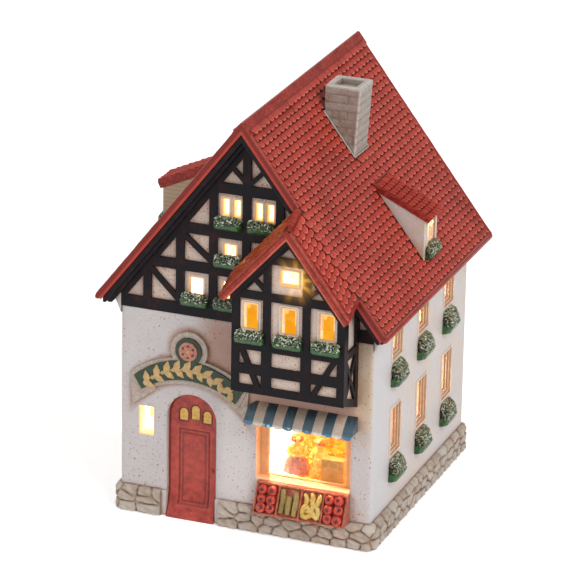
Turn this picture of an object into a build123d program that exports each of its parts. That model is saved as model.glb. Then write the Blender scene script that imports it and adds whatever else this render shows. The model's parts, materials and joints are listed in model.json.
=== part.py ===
from build123d import *
from math import asin, cos, hypot, radians, sin, tan
import os

# A lit ceramic village house: a half-timbered corner shop on a stone plinth.
# X runs to the right of the front, Y from the front to the rear, Z up. The origin
# is on the table, under the middle of the whole outline. Lengths are in millimetres.

# Cuts and clearances
overrun = 1.0  # how far a cut runs past the face that it opens
round_gap = 0.3  # between curved faces that stay together
running_gap = 0.05  # between curved faces that move on each other

# Walls
wall_w = 118.8
wall_d = 126.0
wall_top = 97.4
front_wall_t = 6.0
side_wall_t = 4.4
rear_wall_t = 4.4
corner_r = 1.6
arris_r = 0.9

# Plinth
plinth_h = 12.2
plinth_lip = 2.6

# Roof
roof_pitch = 52.57  # degrees
roof_t = 3.0
plate_rise = 12.61  # from the wall top to the roof's underside, at the wall's face
eave_reach = 8.2
verge_reach = 9.2
ridge_cap_w = 8.4
ridge_cap_t = 0.6
ridge_cap_r = 1.0
cove_w = 5.0
cove_h = 3.4
cove_sag = 0.4

# Courses of tiles on the slopes, inside smooth verges and eaves
course = 3.3
course_t = 0.7
course_lip = 0.4
tile_verge_w = 2.6
tile_eave_w = 1.6
dormer_verge_w = 0.8

# Barge boards under the verges
barge_t = 2.4
barge_set_back = 0.6
barge_step_t = 1.6
barge_step_reach = 3.5
barge_end_gap = 3.0  # from the eave to the end of a board
barge_foot_rise = 3.6  # of a board's level foot over the wall's top
barge_step_foot_rise = 1.9

# Gable timbers
timber_t = 1.2
post_w = 3.9
beam_h = 4.9
sole_h = 5.5
rafter_w = 2.5
brace_w = 2.6
strut_w = 2.0
post_shift = -0.6  # of all the posts, from an even spread
post_share = 0.26  # post spacing, of half the wall's width
beam_shares = (0.230, 0.426, 0.655)  # beam heights, of the gable's height

# Gable windows and their flower boxes
twin_head_gap = 2.5  # from a window's head to the beam above it
mid_head_gap = 2.8
low_head_gap = 2.8
twin_shift = -0.3
single_shift = -0.7
small_box_shift = -1.2
twin_w = 3.4
twin_h = 8.2
twin_pitch = 5.3
mid_w = 5.8
mid_h = 6.4
low_w = 6.1
low_h = 9.6
small_box_w = 12.4
small_box_h = 2.6
small_box_d = 3.2
small_bloom_h = 3.6
small_box_lap = 0.4  # how far a box reaches down over the beam below it

# Door
door_x = -25.5
door_w = 23.4
door_spring_z = 48.0
door_t = 2.8
door_set_back = 3.2  # of the leaf's face from the wall's
door_flare = 4.2  # of the leaf's foot, forward
door_flare_h = 16.0
door_lap = 1.6
door_line_w = 0.9
door_line_t = 0.5
door_panel_w = 13.6
door_panel_x = 0.6  # of the panel's middle, from the door's
door_panel_z = 7.0
door_panel_h = 34.7
door_panel_step = 2.6
door_light_w = 3.8
door_light_h = 5.7
door_light_x = 1.1  # of the middle light, from the door's middle
door_light_pitch = 5.6
door_light_z = 46.4
door_light_t = 0.6
door_light_rise = 1.8  # of the middle light over the outer two
knob_r = 1.3
knob_x = 9.0
knob_z = 24.0

# Small window
small_x = -47.1
small_w = 6.8
small_h = 13.4
small_z = 37.6

# Shop window
shop_x = 27.5
shop_w = 44.2
shop_h = 32.5
shop_z = 25.5
shop_bar_w = 2.6
shop_bar_t = 2.4
shop_bar_set_back = 3.4

# Awning
awning_x = 27.5
awning_w = 50.6
awning_z = 62.5
awning_drop = 7.1
awning_reach = 8.0
awning_back_h = 7.0
stripe_count = 11
scallop_drop = 1.3
scallop_t = 1.0

# Produce tray
tray_x = 28.6
tray_w = 43.0
tray_top_reach = 2.5
tray_foot_reach = 8.5
tray_rim = 1.0
tray_pocket_t = 1.3
crate_count = 4
apple_r = 1.95
apple_pitch_x = 4.4
apple_pitch_y = 4.1
apple_columns = 2
apple_rows = 3
cucumber_w = 2.6
cucumber_l = 11.2
cucumber_t = 2.0
cucumber_count = 3
banana_w = 1.5
banana_l = 10.0
banana_t = 1.4
banana_count = 5

# Sign over the door
sign_x = -26.2
sign_ring_z = 81.4
sign_ring_r = 8.8
sign_ribbon_w = 52.0
sign_ribbon_foot_w = 44.6
sign_ribbon_end_z = 66.2
sign_ribbon_foot_z = 60.0
sign_ribbon_h = 9.2
sign_ribbon_rise = 10.4
sign_border = 2.2
sign_board_t = 1.6
sign_panel_t = 0.8
sign_disc_r = 6.3
roundel_r = 4.4
roundel_t = 0.8
ornament_t = 0.5
leaf_l = 4.6
leaf_w = 2.0
berry_r = 1.0
leaf_count = 7
tail_l = 11.0
tail_drop = 8.6
tail_in = 6.0
tail_t = 1.0

# Side windows, their frames and flower boxes
side_window_w = 13.0
side_window_pitch = 34.5
side_window_shift = 1.5
side_window_count = 3
low_row_z = 35.5
low_row_h = 22.5
high_row_z = 81.0
high_row_h = 12.4
side_bar_w = 1.5
side_bar_t = 1.8
side_bar_proud = 0.5
side_box_w = 13.6
side_box_h = 5.2
side_box_d = 4.4
side_bloom_h = 5.6
side_box_gap = 1.4  # from the top of the blooms to the window

# Bay
bay_x = 26.3
bay_w = 52.2
bay_depth = 18.0
bay_wall_t = 3.0
bay_foot_z = 67.2
bay_sill_z = 73.5
bay_rail_z = 82.2
bay_mid_z = 93.6
bay_head_z = 117.2
bay_peak_h = 35.2  # from the head beam's foot to the ridge
bay_collar_share = 0.4886  # heights in the bay's gable, as shares of that
bay_attic_share = 0.2301
bay_attic_h_share = 0.1932
bay_beam_h = 3.6
bay_rail_h = 4.6
bay_post_w = 3.5
bay_low_post_w = 4.6
bay_inner_post_shift = -0.9
bay_inner_post_x = 9.1
bay_rafter_w = 2.6
bay_base_t = 3.4
bay_window_w = 6.6
bay_window_h = 8.6
bay_window_z = 106.3
bay_box_w = 13.0
bay_attic_w = 8.4
bay_pane_t = 0.8
bay_pane_set_back = 1.4
bay_opening_side = 3.4
bay_opening_h = 8.5
bay_opening_rise = 27.0

# Bay roof
bay_right_reach = 29.2  # from the ridge to the eave
bay_left_reach = 30.6
bay_left_pitch = 48.2  # degrees; the right side has the main roof's pitch
bay_roof_t = 3.0
bay_brace_top = 4.0  # of a brace's ends, from the bay's corner
bay_brace_foot = 12.8
bay_brace_right_foot = 15.2
bay_verge_reach = 4.0
bay_barge_t = 2.0
bay_barge_set_back = 1.2

# Chimney
chimney_x = 19.8
chimney_w = 17.2
chimney_y = 6.9  # from the middle of the walls
chimney_d = 16.6
chimney_z = 190.2
chimney_taper = 2.2  # how far the outer face leans in, top to foot
flue_w = 10.4
flue_d = 9.4
flue_depth = 5.0

# Dormers: the right one, and the left one further forward and out
dormer_w = 16.8
dormer_wall_t = 2.6
dormer_slope = 25.0  # degrees
dormer_eave_reach = 2.6
dormer_side_reach = 0.3
dormer_window_w = 10.0
dormer_window_h = 10.2
dormer_head_gap = 2.4
dormer_box_lap = 0.4  # how far the blooms reach up over the window
dormer_box_w = 14.0
dormer_box_h = 2.8
dormer_box_d = 3.6
dormer_bloom_h = 3.8
right_dormer_y = 7.6  # from the middle of the walls
right_dormer_x = 59.7
right_dormer_z = 133.5
right_dormer_roof_t = 2.2
left_dormer_y = -0.6
left_dormer_x = 62.3
left_dormer_z = 134.4
left_dormer_roof_t = 3.6
dormer_hole_w = 11.0

# Shop interior
floor_t = 3.0
floor_d = 27.0
floor_x = 2.0
back_wall_x = 12.0
back_wall_h = 18.0
back_wall_t = 2.5
counter_x = 38.6
counter_w = 10.6
counter_h = 11.0
counter_d = 5.0
counter_set_back = 4.2
figure_set_back = 11.6
customer_skirt_r = 5.4
shopkeeper_skirt_r = 4.4
figure_waist_r = 2.4
figure_body_h = 15.0
figure_head_r = 3.3
customer_x = 19.0
shopkeeper_x = 30.0
figure_neck_share = 0.75  # of the head's radius, from body top to head centre

# Lamp, on an axis along Y
lamp_z = 97.5
lamp_hole_r = 15.0
flange_r = 18.0
flange_t = 2.0
flange_clear = 2.0
collar_l = 13.0
collar_wall = 2.95
cap_r = 14.0
cap_t = 5.0
inlet_r = 5.0
inlet_l = 2.0
inlet_bore_r = 2.6
socket_l = 43.0
socket_wall = 2.7
socket_floor_t = 4.0
shell_wall = 0.5
shell_l = 36.0
contact_r = 3.0
contact_t = 1.0
clip_w = 4.4
clip_t = 0.6
clip_slot_w = 5.4
clip_slot_end = 1.2

# Bulb
bulb_cap_l = 35.6
bulb_cap_wall = 0.8
bulb_cap_end_t = 1.0
bulb_contact_r = 2.4
bulb_contact_t = 1.0
bulb_gap = 0.3  # from the bulb's contact to the socket's
bulb_l = 48.0
bulb_r = 11.0
bulb_glass_t = 0.9
bulb_belly_share = 0.42  # where the bulb is widest, of its length
stem_r = 1.7
stem_l = 52.0
filament_r = 0.5
filament_w = 9.0

# Levels and lines that follow from these sizes
half_w = wall_w / 2
slope = tan(radians(roof_pitch))
roof_rise = roof_t / cos(radians(roof_pitch))
front_y = (bay_depth + bay_verge_reach - verge_reach - wall_d) / 2
rear_y = front_y + wall_d
mid_y = (front_y + rear_y) / 2
inner_front_y = front_y + front_wall_t
inner_rear_y = rear_y - rear_wall_t
inner_half_w = half_w - side_wall_t
verge_front_y = front_y - verge_reach
verge_rear_y = rear_y + verge_reach
eave_x = half_w + eave_reach


def under_z(x):
    """Height of the main roof's underside at x."""
    return wall_top + plate_rise + (half_w - abs(x)) * slope


def outer_z(x):
    """Height of the main roof's top face at x."""
    return under_z(x) + roof_rise


gable_h = under_z(0) - wall_top
post_step = post_share * half_w
beam_z = [wall_top + share * gable_h for share in beam_shares]
cell_floor_z = [wall_top + sole_h] + [z + beam_h for z in beam_z]
cell_head_z = beam_z


def facing_front(y):
    """A plane of constant Y: sketch x is X, sketch y is Z, extrusion runs forward."""
    return Plane((0, y, 0), x_dir=(1, 0, 0), z_dir=(0, -1, 0))


def facing_rear(y):
    """A plane of constant Y: sketch x is -X, sketch y is Z, extrusion runs backward."""
    return Plane((0, y, 0), x_dir=(-1, 0, 0), z_dir=(0, 1, 0))


def facing_right(x):
    """A plane of constant X: sketch x is Y, sketch y is Z, extrusion runs to the right."""
    return Plane((x, 0, 0), x_dir=(0, 1, 0), z_dir=(1, 0, 0))


def block(x, y, z, mode=Mode.ADD):
    """A box between the two ends given for each axis."""
    with Locations(((x[0] + x[1]) / 2, (y[0] + y[1]) / 2, (z[0] + z[1]) / 2)):
        Box(x[1] - x[0], y[1] - y[0], z[1] - z[0], mode=mode)


def area(x, z, mode=Mode.ADD):
    """A rectangle between the two ends given for each sketch axis."""
    with Locations(((x[0] + x[1]) / 2, (z[0] + z[1]) / 2)):
        Rectangle(x[1] - x[0], z[1] - z[0], mode=mode)


def dome(r):
    """Half a ball, flat on the working plane."""
    Sphere(r, arc_size1=0, align=(Align.CENTER, Align.CENTER, Align.MIN))


def bar(a, b, width):
    """A straight timber of the given width from a to b."""
    length = hypot(b[0] - a[0], b[1] - a[1])
    nx = -(b[1] - a[1]) / length * width / 2
    nz = (b[0] - a[0]) / length * width / 2
    Polygon((a[0] + nx, a[1] + nz), (a[0] - nx, a[1] - nz), (b[0] - nx, b[1] - nz), (b[0] + nx, b[1] + nz))


def arch(x, width, spring, foot, mode=Mode.ADD):
    """A round-headed opening or leaf."""
    area((x - width / 2, x + width / 2), (foot, spring), mode)
    with Locations((x, spring)):
        Circle(width / 2, mode=mode)


def gable_outline(mode=Mode.ADD):
    """The gable triangle between the wall's top and the roof's underside."""
    Polygon(
        (-half_w, wall_top), (half_w, wall_top), (half_w, under_z(half_w)),
        (0, under_z(0)), (-half_w, under_z(half_w)), mode=mode,
    )


def gable_timbers():
    """Sole, beams, posts, rafters, braces and struts of a gable, to be trimmed to it."""
    area((-half_w, half_w), (wall_top, wall_top + sole_h))
    for z in beam_z:
        area((-half_w, half_w), (z, z + beam_h))
    for step in range(-3, 4):
        x = step * post_step + post_shift
        area((x - post_w / 2, x + post_w / 2), (wall_top, under_z(x)))
    # what shows of the rafters hangs below the barge boards
    drop = (barge_t + barge_step_t + rafter_w / 2) / cos(radians(roof_pitch))
    for side in (-1, 1):
        bar((0, under_z(0) - drop), (side * half_w, under_z(half_w) - drop), rafter_w)
        bar((side * 3 * post_step, beam_z[0]), (side * 2 * post_step, cell_floor_z[0]), brace_w)
        bar((side * 2 * post_step, beam_z[1]), (side * post_step, cell_floor_z[1]), brace_w)
        bar((side * post_step / 2, cell_floor_z[3] + post_step / 2), (0, cell_floor_z[3]), strut_w)


# Trimming volumes, not pieces of the house: everything above the main roof's barge
# boards and in front of the rear verge, and everything above the bay roof's underside
barge_rise = (barge_t + barge_step_t) / cos(radians(roof_pitch))
with BuildPart() as main_roof_space:
    with BuildSketch(facing_front(verge_rear_y)):
        Polygon(
            (0, under_z(0) - barge_rise), (eave_x, under_z(eave_x) - barge_rise),
            (eave_x, outer_z(0) + overrun), (-eave_x, outer_z(0) + overrun),
            (-eave_x, under_z(eave_x) - barge_rise),
        )
    extrude(amount=verge_rear_y - verge_front_y)

bay_front_y = front_y - bay_depth
bay_verge_y = bay_front_y - bay_verge_reach
bay_panel_y = bay_front_y + timber_t
bay_ridge_z = bay_head_z + bay_peak_h
bay_collar_z = bay_head_z + bay_collar_share * bay_peak_h
bay_attic_z = bay_head_z + bay_attic_share * bay_peak_h
bay_attic_h = bay_attic_h_share * bay_peak_h
bay_run = verge_front_y - bay_verge_y  # from the bay's verge to the main verge
bay_climb = (outer_z(bay_x) - bay_ridge_z) / bay_run  # rise of the bay's ridge per length
bay_roof_rise = bay_roof_t / cos(radians(roof_pitch))
bay_half = bay_w / 2
bay_side_x = bay_half - timber_t


def bay_fall(x):
    """How far the bay's roof has fallen at x, from its ridge."""
    return x * slope if x > 0 else -x * tan(radians(bay_left_pitch))


def bay_under_z(x, y):
    """Height of the bay roof's underside at x, from its ridge, and y."""
    return bay_ridge_z - bay_roof_rise + (y - bay_verge_y) * bay_climb - bay_fall(x)


def bay_prism(points, y, run, climb, mode=Mode.ADD):
    """An outline in X and Z at y, carried back by run while it climbs."""
    with BuildSketch(facing_front(y)) as profile:
        Polygon(*points)
    extrude(profile.sketch, amount=run * hypot(1, climb), dir=(0, 1, climb), mode=mode)


def bay_space_outline(y):
    """All that lies above the bay roof's underside at y."""
    top = bay_under_z(0, y) + outer_z(0)
    return (
        (bay_x, bay_under_z(0, y)), (bay_x + bay_w, bay_under_z(bay_w, y)), (bay_x + bay_w, top),
        (bay_x - bay_w, top), (bay_x - bay_w, bay_under_z(-bay_w, y)),
    )


with BuildPart() as bay_roof_space:
    bay_prism(bay_space_outline(bay_verge_y), bay_verge_y, bay_run, bay_climb)
    bay_prism(bay_space_outline(verge_front_y), verge_front_y, verge_reach, -bay_climb)

# Plinth
plinth_z = (0, plinth_h)
plinth_outer_x = half_w + plinth_lip
with BuildPart() as plinth_front:
    y = (front_y - plinth_lip, inner_front_y)
    block((-plinth_outer_x, door_x - door_w / 2), y, plinth_z)
    block((door_x + door_w / 2, plinth_outer_x), y, plinth_z)

with BuildPart() as plinth_rear:
    block((-plinth_outer_x, plinth_outer_x), (inner_rear_y, rear_y + plinth_lip), plinth_z)

with BuildPart() as plinth_sides:
    block((inner_half_w, plinth_outer_x), (inner_front_y, inner_rear_y), plinth_z)
    mirror(about=Plane.YZ)

# Front wall, with the door arch, the small window and the shop window
with BuildPart() as front_wall:
    with BuildSketch(facing_front(inner_front_y)):
        area((-half_w, half_w), (plinth_h, wall_top))
        arch(door_x, door_w, door_spring_z, plinth_h, Mode.SUBTRACT)
        area((small_x - small_w / 2, small_x + small_w / 2), (small_z, small_z + small_h), Mode.SUBTRACT)
        area((shop_x - shop_w / 2, shop_x + shop_w / 2), (shop_z, shop_z + shop_h), Mode.SUBTRACT)
    extrude(amount=front_wall_t)
    upright = front_wall.edges().filter_by(Axis.Z).group_by(Axis.X)
    fillet([upright[0].sort_by(Axis.Y)[0], upright[-1].sort_by(Axis.Y)[0]], corner_r)
    front_face = front_wall.faces().filter_by(Axis.Y).sort_by(Axis.Y)[0]
    window_rims = [edge for wire in front_face.inner_wires() for edge in wire.edges()]
    door_rims = front_face.outer_wire().edges().filter_by_position(
        Axis.X, door_x - door_w / 2, door_x + door_w / 2
    ).filter_by_position(Axis.Z, plinth_h + overrun, wall_top - overrun)
    fillet(window_rims + door_rims, arris_r)

# Side walls, each with two rows of tall windows, run up to the roof's underside
side_rows = ((low_row_z, low_row_h), (high_row_z, high_row_h))
side_window_y = [
    mid_y + side_window_shift + (i - (side_window_count - 1) / 2) * side_window_pitch
    for i in range(side_window_count)
]
with BuildPart() as right_wall:
    with BuildSketch(facing_front(inner_rear_y)):
        Polygon(
            (inner_half_w, plinth_h), (half_w, plinth_h), (half_w, under_z(half_w)),
            (inner_half_w, under_z(inner_half_w)),
        )
    extrude(amount=inner_rear_y - inner_front_y)
    with BuildSketch(facing_right(inner_half_w - overrun)):
        for y in side_window_y:
            for z, h in side_rows:
                area((y - side_window_w / 2, y + side_window_w / 2), (z, z + h))
    extrude(amount=side_wall_t + 2 * overrun, mode=Mode.SUBTRACT)

with BuildPart() as left_wall:
    mirror(right_wall.part, about=Plane.YZ)

# A frame lines each side window, and a planted box hangs below it
with BuildPart() as side_window_frames:
    with BuildSketch(facing_right(half_w + side_bar_proud)):
        for y in side_window_y:
            for z, h in side_rows:
                area((y - side_window_w / 2, y + side_window_w / 2), (z, z + h))
                area(
                    (y - side_window_w / 2 + side_bar_w, y + side_window_w / 2 - side_bar_w),
                    (z + side_bar_w, z + h - side_bar_w), Mode.SUBTRACT,
                )
    extrude(amount=-side_bar_t)
    mirror(about=Plane.YZ)


def planted_box(plane, width, height, depth, bloom):
    """A window box with its blooms. Sketch x is the way out from the wall, y is up."""
    with BuildSketch(plane) as profile:
        with BuildLine():
            Polyline((0, height + bloom), (0, 0), (depth * 3 / 4, 0), (depth, height))
            ThreePointArc(
                (depth, height), (depth * 4 / 5, height + bloom * 3 / 4), (0, height + bloom)
            )
        make_face()
    extrude(profile.sketch, amount=width / 2, both=True)


def out_from_front(x, y, z):
    """A plane across a front face at (x, y, z): sketch x runs forward, sketch y up."""
    return Plane((x, y, z), x_dir=(0, -1, 0), z_dir=(-1, 0, 0))


def out_from_right(x, y, z):
    """A plane across a right-hand face at (x, y, z): sketch x runs right, sketch y up."""
    return Plane((x, y, z), x_dir=(1, 0, 0), z_dir=(0, -1, 0))


with BuildPart() as side_flower_boxes:
    for y in side_window_y:
        for z, h in side_rows:
            foot = z - side_box_gap - side_bloom_h - side_box_h
            planted_box(
                out_from_right(half_w, y, foot), side_box_w, side_box_h, side_box_d, side_bloom_h
            )
    mirror(about=Plane.YZ)

# Coves under the eaves
with BuildPart() as eave_coves:
    with BuildSketch(facing_front(rear_y)):
        foot = (half_w, wall_top - cove_h)
        lip = (half_w + cove_w, under_z(half_w + cove_w))
        middle = (
            (foot[0] + lip[0]) / 2 - cove_sag * cos(radians(roof_pitch / 2)),
            (foot[1] + lip[1]) / 2 + cove_sag * sin(radians(roof_pitch / 2)),
        )
        with BuildLine():
            ThreePointArc(foot, middle, lip)
            Polyline(lip, (half_w, under_z(half_w)), foot)
        make_face()
    extrude(amount=wall_d)
    mirror(about=Plane.YZ)

# Front gable: a panel with the windows, set back behind the timbers
bay_opening = (
    (bay_x - bay_half + bay_opening_side, cell_floor_z[0]),
    (bay_x + bay_half - bay_opening_side, cell_floor_z[0]),
    (bay_x + bay_half - bay_opening_side, cell_floor_z[0] + bay_opening_h),
    (bay_x, cell_floor_z[0] + bay_opening_h + bay_opening_rise),
    (bay_x - bay_half + bay_opening_side, cell_floor_z[0] + bay_opening_h),
)
low_columns = (-1.5, -0.5)  # in post steps from the middle
mid_columns = (-0.5,)
twin_columns = (-0.5, 0.5)


def gable_hole(x, row, width, height, head_gap):
    """A window opening under the beam that closes its row."""
    head = cell_head_z[row] - head_gap
    area((x - width / 2, x + width / 2), (head - height, head), Mode.SUBTRACT)


with BuildPart() as front_gable:
    with BuildSketch(facing_front(inner_front_y)):
        gable_outline()
        for column in low_columns:
            gable_hole(column * post_step + single_shift, 0, low_w, low_h, low_head_gap)
        for column in mid_columns:
            gable_hole(column * post_step + single_shift, 1, mid_w, mid_h, mid_head_gap)
        for column in twin_columns:
            for side in (-1, 1):
                x = column * post_step + twin_shift + side * twin_pitch / 2
                gable_hole(x, 2, twin_w, twin_h, twin_head_gap)
        Polygon(*bay_opening, mode=Mode.SUBTRACT)
    extrude(amount=front_wall_t - timber_t)

with BuildPart() as front_timbers:
    with BuildSketch(facing_front(front_y + timber_t)):
        gable_timbers()
        for side in (-1, 1):
            edge = bay_x + side * bay_half
            inner = edge - side * (bay_wall_t + timber_t)
            area((min(edge, inner), max(edge, inner)), (wall_top, bay_head_z))
        gable_outline(Mode.INTERSECT)
        Polygon(*bay_opening, mode=Mode.SUBTRACT)
        # none above the opening's right-hand rake, where the bay's roof hides them
        above = outer_z(0)
        Polygon(
            bay_opening[2], (bay_opening[2][0], above), (bay_x, above), bay_opening[3], mode=Mode.SUBTRACT,
        )
    extrude(amount=timber_t)

# Rear wall and gable in one slab, with the lamp's hole, and its timbers
with BuildPart() as rear_wall:
    with BuildSketch(facing_rear(inner_rear_y)):
        area((-half_w, half_w), (plinth_h, wall_top))
        gable_outline()
        with Locations((0, lamp_z)):
            Circle(lamp_hole_r, mode=Mode.SUBTRACT)
    extrude(amount=rear_wall_t)
    upright = rear_wall.edges().filter_by(Axis.Z).group_by(Axis.X)
    fillet([upright[0].sort_by(Axis.Y)[-1], upright[-1].sort_by(Axis.Y)[-1]], corner_r)

with BuildPart() as rear_timbers:
    with BuildSketch(facing_rear(rear_y)):
        gable_timbers()
        gable_outline(Mode.INTERSECT)
        area((-half_w, -half_w + corner_r), (wall_top, under_z(half_w)), Mode.SUBTRACT)
        area((half_w - corner_r, half_w), (wall_top, under_z(half_w)), Mode.SUBTRACT)
        with Locations((0, lamp_z)):
            Circle(flange_r + flange_clear, mode=Mode.SUBTRACT)
    extrude(amount=timber_t)


# Barge boards: two steps under each verge, cut level at their feet
def barge_band(depth, foot_rise):
    """Both rakes of a barge board of the given depth, square to the roof."""
    drop = depth / cos(radians(roof_pitch))
    reach = eave_x - barge_end_gap
    Polygon(
        (0, under_z(0)), (-reach, under_z(reach)), (-reach, under_z(reach) - drop),
        (0, under_z(0) - drop), (reach, under_z(reach) - drop), (reach, under_z(reach)),
    )
    area((-reach, reach), (0, wall_top + foot_rise), Mode.SUBTRACT)


with BuildPart() as front_barge_board:
    with BuildSketch(facing_front(front_y)):
        barge_band(barge_t, barge_foot_rise)
    extrude(amount=verge_reach - barge_set_back)
    with BuildSketch(facing_front(front_y)):
        barge_band(barge_t + barge_step_t, barge_step_foot_rise)
    extrude(amount=barge_step_reach)

with BuildPart() as rear_barge_board:
    with BuildSketch(facing_rear(rear_y + timber_t)):
        barge_band(barge_t, barge_foot_rise)
    extrude(amount=verge_reach - barge_set_back - timber_t)
    with BuildSketch(facing_rear(rear_y + timber_t)):
        barge_band(barge_t + barge_step_t, barge_step_foot_rise)
    extrude(amount=barge_step_reach)


# Tiles: each course is a low wedge, thickest at its tail
def course_notches(x, z, pitch, first, last):
    """Outlines cut between the courses on a slope that falls by pitch to the right of (x, z)."""
    angle = radians(pitch)
    for i in range(int((last - first) / course)):
        head = first + i * course
        tail = head + course - course_lip
        yield (
            (x + head * cos(angle), z - head * sin(angle)),
            (
                x + head * cos(angle) - course_t * sin(angle),
                z - head * sin(angle) - course_t * cos(angle),
            ),
            (x + tail * cos(angle), z - tail * sin(angle)),
        )


# Dormers: each is a hollow wedge on the slope, with a single-pitch roof
dormer_fall = tan(radians(dormer_slope))


def dormer_top_x(face_x, top_z):
    """Where a dormer's roof line meets the main slope."""
    return (outer_z(0) - top_z - dormer_fall * face_x) / (slope - dormer_fall)


def dormer_wedge(face_x, top_z):
    """The side outline of a dormer's walls."""
    x = dormer_top_x(face_x, top_z)
    Polygon((x, outer_z(x)), (face_x, outer_z(face_x)), (face_x, top_z))


def dormer_walls(face_x, top_z, y):
    """The face and cheeks of a right-hand dormer about y."""
    with BuildSketch(facing_front(y + dormer_w / 2)) as outside:
        dormer_wedge(face_x, top_z)
    extrude(outside.sketch, amount=dormer_w)
    with BuildSketch(facing_front(y + dormer_w / 2 - dormer_wall_t)) as inside:
        x = dormer_top_x(face_x, top_z)
        inner_x = face_x - dormer_wall_t
        Polygon(
            (x - overrun, outer_z(x - overrun) + overrun), (x - overrun, outer_z(inner_x)),
            (inner_x, outer_z(inner_x) - overrun), (inner_x, top_z + dormer_fall * dormer_wall_t + overrun),
        )
    extrude(inside.sketch, amount=dormer_w - 2 * dormer_wall_t, mode=Mode.SUBTRACT)
    with BuildSketch(facing_right(face_x - dormer_wall_t - overrun)) as window:
        head = top_z - dormer_head_gap
        area((y - dormer_window_w / 2, y + dormer_window_w / 2), (head - dormer_window_h, head))
    extrude(window.sketch, amount=dormer_wall_t + 2 * overrun, mode=Mode.SUBTRACT)


def dormer_roof(face_x, top_z, y, thick):
    """The roof slab of a right-hand dormer about y, bedded on the main slope, square at its eave."""
    angle = radians(dormer_slope)
    rise = thick / cos(angle)
    with BuildSketch(facing_front(y + dormer_w / 2 + dormer_side_reach)) as profile:
        low = dormer_top_x(face_x, top_z)
        high = dormer_top_x(face_x, top_z + rise)
        edge = face_x + dormer_eave_reach
        edge_z = top_z + rise - dormer_fall * dormer_eave_reach
        Polygon(
            (edge - thick * sin(angle), edge_z - thick * cos(angle)), (low, outer_z(low)),
            (high, outer_z(high)), (edge, edge_z),
        )
    extrude(profile.sketch, amount=dormer_w + 2 * dormer_side_reach)
    width = dormer_w + 2 * dormer_side_reach - 2 * dormer_verge_w
    with BuildSketch(facing_front(y + width / 2)) as notches:
        length = (edge - high) / cos(angle)
        for outline in course_notches(high, outer_z(high), dormer_slope, length % course, length):
            Polygon(*outline)
    extrude(notches.sketch, amount=width, mode=Mode.SUBTRACT)


def dormer_box(face_x, top_z, y):
    """The planted box under a right-hand dormer's window."""
    sill = top_z - dormer_head_gap - dormer_window_h
    z = sill + dormer_box_lap - dormer_bloom_h - dormer_box_h
    planted_box(out_from_right(face_x, y, z), dormer_box_w, dormer_box_h, dormer_box_d, dormer_bloom_h)


right_dormer = (right_dormer_x, right_dormer_z, mid_y + right_dormer_y)
left_dormer = (left_dormer_x, left_dormer_z, mid_y + left_dormer_y)

with BuildPart() as mirrored_walls:
    dormer_walls(*left_dormer)

with BuildPart() as dormer_wall_shells:
    dormer_walls(*right_dormer)
    mirror(mirrored_walls.part, about=Plane.YZ)

with BuildPart() as mirrored_roof:
    dormer_roof(*left_dormer, left_dormer_roof_t)

with BuildPart() as dormer_roofs:
    dormer_roof(*right_dormer, right_dormer_roof_t)
    mirror(mirrored_roof.part, about=Plane.YZ)

with BuildPart() as mirrored_box:
    dormer_box(*left_dormer)

with BuildPart() as dormer_flower_boxes:
    dormer_box(*right_dormer)
    mirror(mirrored_box.part, about=Plane.YZ)


# Roof slabs with their courses, opened under each dormer, and the ridge cap
def slope_notches(face_x, top_z, y, thick):
    """What is cut between the right-hand slope's courses, clear of a dormer about y."""
    slope_l = eave_x / cos(radians(roof_pitch))
    first = ridge_cap_w / 2 / cos(radians(roof_pitch))
    with BuildSketch(facing_front(verge_rear_y - tile_verge_w)) as notches:
        for outline in course_notches(0, outer_z(0), roof_pitch, first, slope_l - tile_eave_w):
            Polygon(*outline)
    extrude(notches.sketch, amount=verge_rear_y - verge_front_y - 2 * tile_verge_w)
    half = dormer_w / 2 + dormer_side_reach
    high = dormer_top_x(face_x, top_z + thick / cos(radians(dormer_slope)))
    block((high, face_x), (y - half, y + half), (0, outer_z(0)), Mode.SUBTRACT)


with BuildPart() as right_notches:
    slope_notches(*right_dormer, right_dormer_roof_t)
    block(
        (chimney_x - chimney_w / 2, chimney_x + chimney_w / 2),
        (mid_y + chimney_y - chimney_d / 2, mid_y + chimney_y + chimney_d / 2),
        (0, outer_z(0)), Mode.SUBTRACT,
    )

with BuildPart() as left_notches:
    slope_notches(*left_dormer, left_dormer_roof_t)


def roof_slab(face_x, top_z, y):
    """The right-hand slab, square at the eave, with a hole under a dormer about y."""
    square_x = roof_t * sin(radians(roof_pitch))
    square_z = roof_t * cos(radians(roof_pitch))
    with BuildSketch(facing_front(verge_rear_y)) as profile:
        Polygon(
            (0, under_z(0)), (eave_x - square_x, outer_z(eave_x) - square_z),
            (eave_x, outer_z(eave_x)), (0, outer_z(0)),
        )
    extrude(profile.sketch, amount=verge_rear_y - verge_front_y)
    near_x = inner_half_w - dormer_wall_t
    block(
        (near_x - dormer_hole_w, near_x), (y - dormer_window_w / 2, y + dormer_window_w / 2),
        (under_z(near_x) - overrun, top_z + roof_rise), Mode.SUBTRACT,
    )


with BuildPart() as roof_right:
    roof_slab(*right_dormer)
    add(right_notches.part, mode=Mode.SUBTRACT)

with BuildPart() as mirrored_slab:
    roof_slab(*left_dormer)
    add(left_notches.part, mode=Mode.SUBTRACT)

with BuildPart() as roof_left:
    mirror(mirrored_slab.part, about=Plane.YZ)

with BuildPart() as ridge_cap:
    with BuildSketch(facing_front(verge_rear_y)):
        x = ridge_cap_w / 2
        rise = ridge_cap_t / cos(radians(roof_pitch))
        Polygon(
            (0, outer_z(0)), (x, outer_z(x)), (x, outer_z(x) + rise), (0, outer_z(0) + rise),
            (-x, outer_z(x) + rise), (-x, outer_z(x)),
        )
    extrude(amount=verge_rear_y - verge_front_y)
    fillet(ridge_cap.edges().filter_by(Axis.Y).sort_by(Axis.Z)[-1], ridge_cap_r)

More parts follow.
